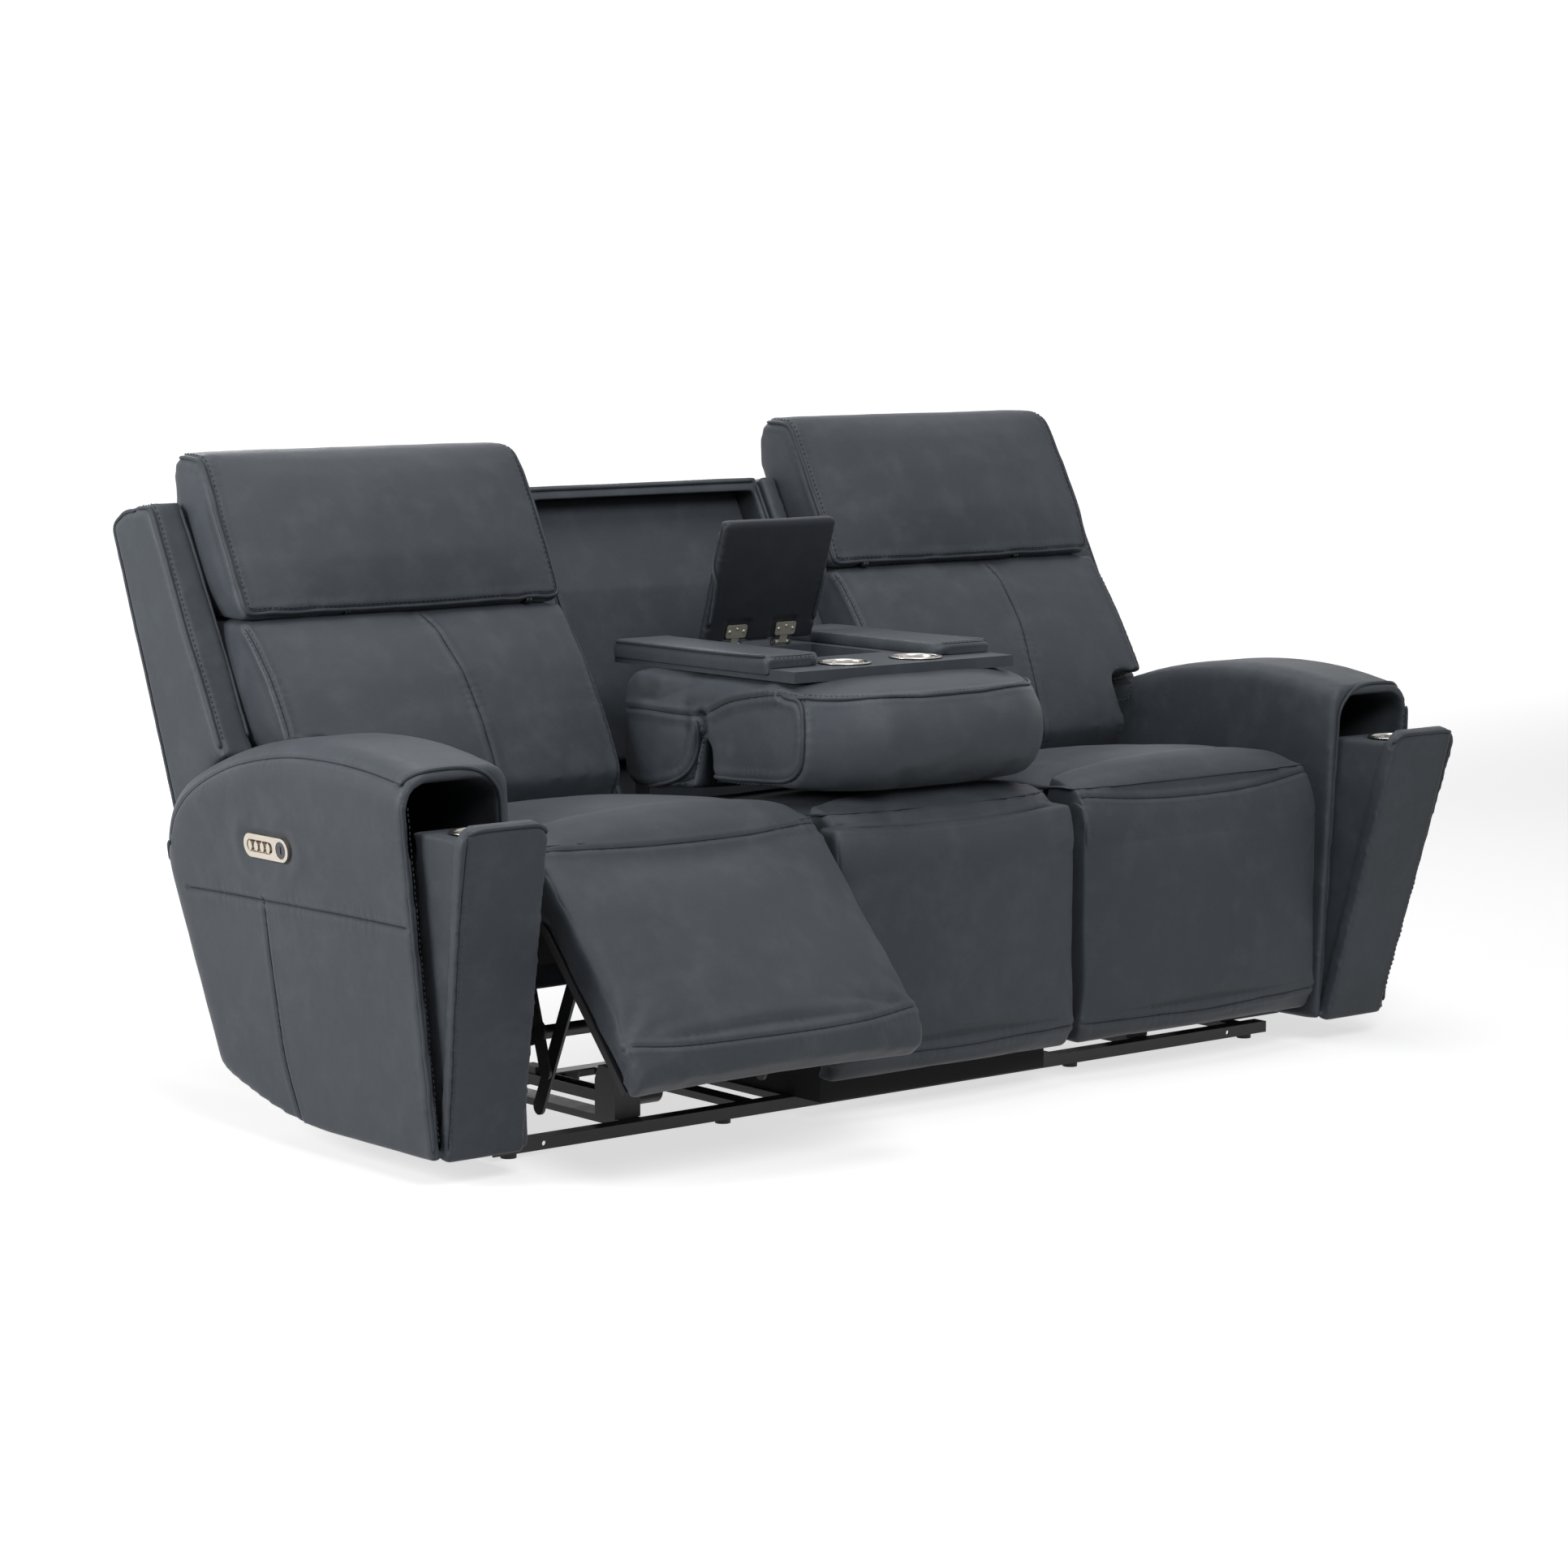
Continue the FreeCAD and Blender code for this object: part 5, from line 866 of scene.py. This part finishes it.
def lap_over(points):
    """Outside the table's edge, the pads hang 2.6 times as far below its top and stand half a
    millimetre out."""
    x, y, z = points.T / mm
    out = np.clip((np.abs(x) - 242) / 4, 0, 1)
    z = np.where(z < 746, 746 - (746 - z) * (1 + 1.6 * out), z)
    return np.stack((x + np.sign(x) * out * 0.5, y, z), 1) * mm


pad_seams = []
for side in (-1, 1):
    pad_seams += [
        ("single", (side * 135, -146, 757), (side * 190, -146, 757), (side * 240, -146, 757)),
        ("cord", (side * 244, -140, 754), (side * 249, 0, 754), (side * 249, 150, 754),
         (side * 249, 268, 754)),
    ]


def behind_the_leaves(mesh):
    """Presses the lid's leather in by 3.5 mm under each hinge leaf: 20 to 82 mm from the middle and
    up to Z 788, less over the last 6 mm."""
    points = points_of(mesh)
    x, z = np.abs(points[:, 0]) / mm, points[:, 2] / mm
    share = np.clip((x - 20) / 6, 0, 1) * np.clip((82 - x) / 6, 0, 1) * np.clip((788 - z) / 6, 0, 1)
    put_points(mesh, points - normals_of(mesh) * (share * 3.5 * mm)[:, None])


lid_rim = [(-124, 118, 760), (-126, 140, 850), (-124, 190, 955), (-112, 196, 964)]
lid_seams = [("cord", *there_and_back(lid_rim, (0, 198, 966)))]
recess_seams = [("band", *there_and_back([(-245, 500, 826), (-120, 500, 826)], (0, 500, 826)))]
middle_shell_seams = [
    ("cord", (-262, 500, 1000), (-262, 440, 900), (-262, 380, 780), (-262, 320, 660)),
    ("cord", (262, 500, 1000), (262, 440, 900), (262, 380, 780), (262, 320, 660)),
    ("cord", *there_and_back([(-255, 505, 1008)], (0, 505, 1008))),
    ("double", *there_and_back([(-255, 640, 930)], (0, 640, 925))),
    ("double", *there_and_back([(-255, 420, 380)], (0, 420, 375))),
]

for hand in ("left", "right"):
    turn = mirrored if hand == "right" else list
    upholster(f"{hand}_arm", "frame", turn(arm_seams), rounds=2, fill=0.9, soft=0.7, dress=dress_arm)
    upholster(f"{hand}_tray", f"{hand}_tray", turn(tray_seams), cell=5, rounds=1, fill=0.9,
              soft=0.3, dress=round_the_cup(hand))
    upholster(f"{hand}_back_shell", f"{hand}_back", turn(shell_seams), hide_rear, rounds=2, fill=0)
soft_back = {"rounds": 4, "shrink": 4, "cap": 10, "fill": 0.7}
upholster("left_headrest", "left_headrest", headrest_seams, shape=full_at_the_foot, **soft_back)
upholster("right_headrest", "right_headrest", moved(mirrored(headrest_seams), 14, 26),
          shape=full_at_the_foot, **soft_back)
upholster("left_back_cushion", "left_back", back_seams, **soft_back)
upholster("right_back_cushion", "right_back", right_back_seams, **soft_back)
soft_seat = {"rounds": 4, "shrink": 4, "cap": 7, "fill": 0.8}
upholster("left_seat_cushion", "frame", **soft_seat)
upholster("right_seat_cushion", "frame", **soft_seat)
upholster("middle_seat_cushion", "frame", **soft_seat)
upholster("left_footrest_pad", "left_footrest", open_pad_seams, **soft_seat)
upholster("right_footrest_pad", "right_footrest", right_pad_seams, **soft_seat)
upholster("middle_front_panel", "frame", middle_panel_seams, **soft_seat)
upholster("middle_back_shell", "frame", middle_shell_seams, hide_rear, cell=7, rounds=1, fill=0)
upholster("recess_panel", "frame", recess_seams, cell=7, rounds=1, fill=0.95, soft=0.5)
upholster("console_back", "console", console_seams, shape=roll_in_plan, rounds=5, shrink=4,
          cap=8, fill=0.8)
upholster("console_pads", "console", pad_seams, cell=5, rounds=1, fill=0.9, soft=0.4, shape=lap_over)
upholster("console_lid", "lid", lid_seams, hide_shade, cell=5, rounds=1, fill=0.9, soft=0.4,
          dress=behind_the_leaves)


# Steel cups
def cup_shape(centre, way, rim=46, bore=37, deep=66, segments=56):
    """A closed profile (radius, height) turned about the axis through centre: rolled flange, bore
    with a bead near its top, coved foot, and a thin wall outside. Both poles are points."""
    inner = [(rim - 0.3, 0.4), (rim, 1.3), (rim - 0.6, 2.3), (rim - 2.0, 2.9), (bore + 3, 3.0),
             (bore + 1.2, 2.6), (bore + 0.3, 1.4), (bore, -1), (bore, -8), (bore - 0.5, -9.5),
             (bore - 0.5, -12), (bore, -13.5), (bore - 0.6, 8 - deep), (bore - 2.5, 3 - deep),
             (bore - 7, 0.9 - deep), (bore - 16, 0.5 - deep), (bore - 17, 1.1 - deep), (3, 1.2 - deep)]
    outer = [(rim - 3, -0.2), (bore + 0.9, -2), (bore + 0.6, 6 - deep), (bore - 4, -deep),
             (3, -deep)]
    angle = np.arange(segments) * 2 * math.pi / segments
    across = np.cross(way, (0.0, 1.0, 0.0))
    across = across / np.linalg.norm(across)
    turn = np.cos(angle)[:, None] * across + np.sin(angle)[:, None] * np.cross(way, across)
    profile = np.array(outer[::-1] + inner)
    ring = turn[None] * profile[:, 0, None, None] + way * profile[:, 1, None, None]
    poles = np.stack((way * -deep, way * (1.2 - deep)))
    points = np.concatenate((ring.reshape(-1, 3), poles)) * mm + centre
    here = np.arange(segments)
    there = (here + 1) % segments
    last = (len(profile) - 1) * segments
    foot = np.stack((there, here, np.full(segments, last + segments)), 1)
    floor_of_bore = np.stack((here + last, there + last, np.full(segments, last + segments + 1)), 1)
    faces = ring_faces(len(profile), segments).tolist() + foot.tolist() + floor_of_bore.tolist()
    return points, faces


def set_cups(node, body, cups):
    """New steel cups in place of the node's, each given by its centre and its way up."""
    shapes = [cup_shape(*cup) for cup in cups]
    piece = one_piece(f"{node}_steel", shapes, cup_steel, body)
    turn_outward(piece.data)
    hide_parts(node)


console_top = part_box("console_cups")[1][2]
up = np.array((0.0, 0.0, 1.0))
cup_aside, cup_y = 0.079, -0.148
console_cups = [(np.array((x, cup_y, console_top)), up) for x in (-cup_aside, cup_aside)]
set_cups("console_cups", "console", console_cups)
for hand in ("left", "right"):
    set_cups(f"{hand}_tray_cup", f"{hand}_tray", [rim_plane(hand)])


# Leather over the nose of each seat, from the seat cushion down to the front pad
nose_axis = np.array((0.0, -0.235, 0.425))
nose_depth, nose_end = 30, 16


def edged(table, rows, columns):
    return np.pad(table, ((rows, rows), (columns, columns)), "edge")


def nose_radius(seat, pad, x, way):
    """The radius r(X, a) of seat and pad about the nose's axis: the outermost point on each ray, its
    median over 11 places along X, closed over the gap between seat and pad (highest, then lowest,
    in a window of 25 angles) and averaged with its neighbours 16 times."""
    reach = 0.5
    radius = np.zeros((len(x), len(way)))
    for cover in (covers[seat], covers[pad]):
        surface = surface_of(cover.data)
        for i, place in enumerate(x):
            for j, aim in enumerate(way):
                start = Vector((place, nose_axis[1] + aim[1] * reach, nose_axis[2] + aim[2] * reach))
                hit = surface.ray_cast(start, Vector(-aim))
                if hit[0] is not None:
                    radius[i, j] = max(radius[i, j], reach - hit[3])
    windows = np.lib.stride_tricks.sliding_window_view
    radius = np.median(windows(edged(radius, 5, 0), 11, axis=0), axis=2)
    for best in (np.max, np.min):
        radius = best(windows(edged(radius, 0, 12), 25, axis=1), axis=2)
    for _ in range(16):
        wide = edged(radius, 1, 1)
        beside_x = wide[:-2, 1:-1] + wide[2:, 1:-1]
        beside_a = wide[1:-1, :-2] + wide[1:-1, 2:]
        radius = radius * 0.46 + beside_x * 0.05 + beside_a * 0.22
    return radius


def nose_strip(name, seat, pad, left, right, body, seam):
    """A shell from the nose's radius down to nose_depth under it. Its outside stands 0.8 mm out and
    is sunk 1.8 mm under both covers at the first and last angle; each end is rounded by nose_end.
    The places along X lie closer together near both ends."""
    t = np.linspace(0, 1, 130)
    x = (left + 4 + (right - left - 8) * (t - 0.75 * np.sin(2 * math.pi * t) / (2 * math.pi))) * mm
    angle = np.radians(np.linspace(14, 104, 64))
    way = np.stack((0 * angle, -np.sin(angle), np.cos(angle)), 1)
    radius = nose_radius(seat, pad, x, way)
    rim = np.clip(np.minimum(angle - angle[0], angle[-1] - angle)[None, :] / math.radians(16), 0, 1)
    rim = rim * rim * (3 - 2 * rim)
    from_end = np.clip(np.minimum(x - x[0], x[-1] - x)[:, None] / (nose_end * mm), 0, 1)
    turned = nose_end * (1 - np.sqrt(1 - (1 - from_end) ** 2))
    outer = radius + (rim * 2.6 - 1.8 - turned) * mm
    layers = []
    for size in (outer, radius - nose_depth * mm):
        flat = np.broadcast_to(x[:, None], size.shape)
        y, z = nose_axis[1] + size * way[:, 1], nose_axis[2] + size * way[:, 2]
        layers.append(np.stack((flat, y, z), -1).reshape(-1, 3))
    rows, columns = radius.shape
    grid = np.arange(rows * columns).reshape(rows, columns)
    quads = np.stack((grid[:-1, :-1], grid[:-1, 1:], grid[1:, 1:], grid[1:, :-1]), -1).reshape(-1, 4)
    under = quads[:, ::-1] + rows * columns
    loop = np.concatenate((grid[0, :-1], grid[:-1, -1], grid[-1, :0:-1], grid[:0:-1, 0]))
    after = np.roll(loop, -1)
    rim_faces = np.stack((after, loop, loop + rows * columns, after + rows * columns), 1)
    piece = new_piece(name, np.concatenate(layers), np.concatenate((quads, under, rim_faces)), hide)
    turn_outward(piece.data)
    covers[name] = piece
    sew(piece, body, [seam])
    carried(piece, body)


nose_strip("left_nose", "left_seat_cushion", "left_footrest_pad", -866, -277,
           ("frame", "left_footrest", (-0.57, -0.355, 0.505), (-0.57, -0.44, 0.42)),
           ("double", (-850, -330, 506), (-710, -352, 505), (-571, -356, 502), (-430, -352, 504),
            (-293, -330, 508)))
nose_strip("right_nose", "right_seat_cushion", "right_footrest_pad", 277, 866,
           ("frame", "right_footrest", (0.57, -0.352, 0.505), (0.57, -0.374, 0.43)),
           ("double", (293, -330, 496), (430, -356, 493), (571, -362, 490), (710, -356, 493),
            (850, -330, 500)))
nose_strip("middle_nose", "middle_seat_cushion", "middle_front_panel", -274, 274, "frame",
           ("double", (-258, -330, 494), (-130, -356, 490), (0, -362, 488), (130, -356, 491),
            (258, -330, 498)))


# Hinge leaves of the lid, with their screws
def rounded_outline(half_wide, low, high, corner, count=6):
    """A rectangle with quarter-circle corners, as points (u, v) running anticlockwise."""
    turn = np.linspace(0, math.pi / 2, count)
    corners = []
    top, foot = high - corner, low + corner
    for step, (side, v) in enumerate(((1, top), (-1, top), (-1, foot), (1, foot))):
        angle = turn + step * math.pi / 2
        u = side * (half_wide - corner)
        corners.append(np.stack((u + corner * np.cos(angle), v + corner * np.sin(angle)), 1))
    return np.concatenate(corners)


def slab(outline, origin, rise, out, thick):
    """The outline (u along X, v along rise) as a plate from the origin's plane outwards."""
    across = np.array((1.0, 0.0, 0.0))
    flat = outline[:, :1] * across + outline[:, 1:] * rise
    points = np.concatenate((flat, flat + out * thick)) * mm + origin
    count = len(outline)
    faces = [list(range(count))[::-1], list(range(count, 2 * count))]
    return points, faces + ring_faces(2, count).tolist()


def screw(centre, rise, out, radius=3.1):
    """A raised screw head: rings of radius * (1, 1, 0.8, 0.35) at heights -0.4, 0.6, 1.4 and 1.8."""
    angle = np.arange(16) * math.pi / 8
    ring = np.cos(angle)[:, None] * np.array((1.0, 0.0, 0.0)) + np.sin(angle)[:, None] * rise
    size, height = np.array((1, 1, 0.8, 0.35)) * radius, np.array((-0.4, 0.6, 1.4, 1.8))
    points = ring[None] * size[:, None, None] + out * height[:, None, None]
    caps = [list(range(16))[::-1], list(range(48, 64))]
    return points.reshape(-1, 3) * mm + centre, ring_faces(4, 16).tolist() + caps


# The open lid leans forward by 18 degrees; the leaves stand on its front face
lean = math.radians(18)
rise = np.array((0.0, -math.sin(lean), math.cos(lean)))
out = np.array((0.0, -math.cos(lean), -math.sin(lean)))
leaves = []
leaf_points = points_of(nodes["lid_hinge_plates"].data)
leaf_x = float(np.abs(leaf_points[:, 0]).mean())
leaf_y, leaf_z = 0.1815, 0.741
plate, tongue = rounded_outline(22, 14, 38, 4), rounded_outline(8, -1, 20, 2)
plate_thick, tongue_thick = 2.2, 1.2
for side in (-1, 1):
    foot = np.array((side * leaf_x, leaf_y, leaf_z))
    leaves.append(slab(plate, foot, rise, out, plate_thick))
    leaves.append(slab(tongue, foot, rise, out, tongue_thick))
    face = foot + out * plate_thick * mm
    for u in (-15.5, 15.5):
        leaves.append(screw(face + np.array((u * mm, 0, 0)) + rise * 0.026, rise, out))
    leaves.append(screw(face + rise * 0.031, rise, out, 2.4))
leaf_piece = one_piece("lid_hinge_leaves", leaves, hinge_nickel, "lid")
leaf_piece.data.shade_flat()
turn_outward(leaf_piece.data)
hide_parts("lid_hinge_plates")

finishes = {
    "base_frame_rails": black_steel, "front_base_rail": black_steel, "feet": foot_plastic,
    "charging_ports": port_plastic, "control_bezels": nickel, "lid_hinge_knuckles": hinge_nickel,
    "console_pivot_brackets": boot_leather_shade, "console_table": hide_plate,
    "middle_seat_frame": dust_cloth,
}
side_finishes = {
    "actuator": black_plastic, "back_brackets": black_steel, "drive_slider": black_plastic,
    "footrest_board": dust_cloth, "footrest_struts": black_steel, "headrest_lugs": black_steel,
    "lift_links": black_steel, "seat_frame": dust_cloth, "side_plates": black_steel,
    "back_paddle": nickel, "foot_paddle": nickel, "head_paddle": nickel, "lumbar_paddle": nickel,
}
for hand in ("left", "right"):
    for part, finish in side_finishes.items():
        finishes[f"{hand}_{part}"] = finish
for node, finish in finishes.items():
    mesh = nodes[node].data
    mesh.materials.clear()
    mesh.materials.append(finish)


# Flat leather needs few faces: each cover made from a CAD node keeps at most 65 % of its triangles, and
# a large one fewer
most_kept, most_on_shell, most_on_pad = 0.65, 60000, 110000
for node, piece in covers.items():
    mark_edges(piece.data)
    if node in nodes:
        most = most_on_shell if node.endswith("back_shell") else most_on_pad
        share = min(most_kept, most / (2 * len(piece.data.polygons)))
        with_modifier(piece, "DECIMATE", ratio=share)


# Floor, lights and camera
def build_floor():
    """A plain floor that turns up behind the object: flat, then a quarter circle, then upright."""
    radius, half, front, back = 2.5, 14.0, -14.0, 6.0
    turn = np.linspace(0.0, math.pi / 2, 24)
    run = np.concatenate(([front], back + radius * np.sin(turn), [back + radius]))
    rise = np.concatenate(([0.0], radius * (1 - np.cos(turn)), [12.0]))
    across = np.array([-half, half])
    grid = np.stack(np.broadcast_arrays(across[None, :], run[:, None], rise[:, None]), -1)
    count = len(run)
    first = np.arange(count - 1) * 2
    faces = np.stack((first, first + 1, first + 3, first + 2), 1)
    book = Book("white_floor")
    matt = book.node("BsdfDiffuse", {}, {"Color": (0.5, 0.5, 0.5, 1.0)})
    depth = book.add("SeparateXYZ", {}, {"Vector": book.place()}, "Y")
    height = book.add("SeparateXYZ", {}, {"Vector": book.place()}, "Z")
    far = book.step(depth + height, 1.6, 4.5, 0.68, 1.0)
    glow = book.node("Emission", {}, {"Color": (1.0, 1.0, 1.0, 1.0), "Strength": far})
    bounce = book.node("BsdfDiffuse", {}, {"Color": (0.36, 0.355, 0.35, 1.0)})
    both = book.tree.nodes.new("ShaderNodeAddShader")
    book.tree.links.new(matt.outputs[0], both.inputs[0])
    book.tree.links.new(glow.outputs[0], both.inputs[1])
    book.show_by_ray(bounce, both)
    floor = new_piece("floor", grid.reshape(-1, 3), faces, book.material)


def area_light(name, place, aim, size, power):
    """A round lamp that faces aim: size is its width in metres, power its watts."""
    lamp = bpy.data.lights.new(name, "AREA")
    lamp.shape = "DISK"
    lamp.size = size
    lamp.energy = power
    holder = bpy.data.objects.new(name, lamp)
    scene.collection.objects.link(holder)
    holder.location = place
    holder.rotation_euler = (Vector(aim) - Vector(place)).to_track_quat("-Z", "Y").to_euler()


def light_the_room():
    """A dim bluish world, white where it is seen, and four round soft lamps."""
    book = Book("studio", world=True)
    scene.world = book.material
    ambient = book.node("Background", {}, {"Color": (0.94, 0.97, 1.0, 1.0), "Strength": 0.07})
    white = book.node("Background", {}, {"Strength": 1.0})
    book.show_by_ray(ambient, white)
    area_light("left_soft_box", (-3.7, 0.7, 1.6), (-1.1, 0.0, 0.5), 1.6, 80.0)
    area_light("front_soft_box", (-1.6, -4.6, 4.4), (0.0, 0.0, 0.5), 3.0, 190.0)
    area_light("rear_soft_box", (1.2, 4.6, 3.2), (0.0, 0.3, 0.5), 2.6, 60.0)
    area_light("top_soft_box", (0.0, -0.2, 4.6), (0.0, 0.0, 0.5), 3.2, 78.0)


def set_camera():
    """The view of the photograph: turned 39.3 degrees, looking 7.1 degrees down, 98 mm lens."""
    lens = bpy.data.cameras.new("camera")
    lens.lens = 98.26
    lens.sensor_width = 36.0
    lens.sensor_fit = "HORIZONTAL"
    lens.clip_end = 60.0
    holder = bpy.data.objects.new("camera", lens)
    scene.collection.objects.link(holder)
    holder.location = (-4.694, -5.625, 1.423)
    holder.rotation_euler = (math.radians(90 - 7.102), 0.0, math.radians(-39.305))
    scene.camera = holder


build_floor()
light_the_room()
set_camera()
scene.view_settings.view_transform = "Standard"
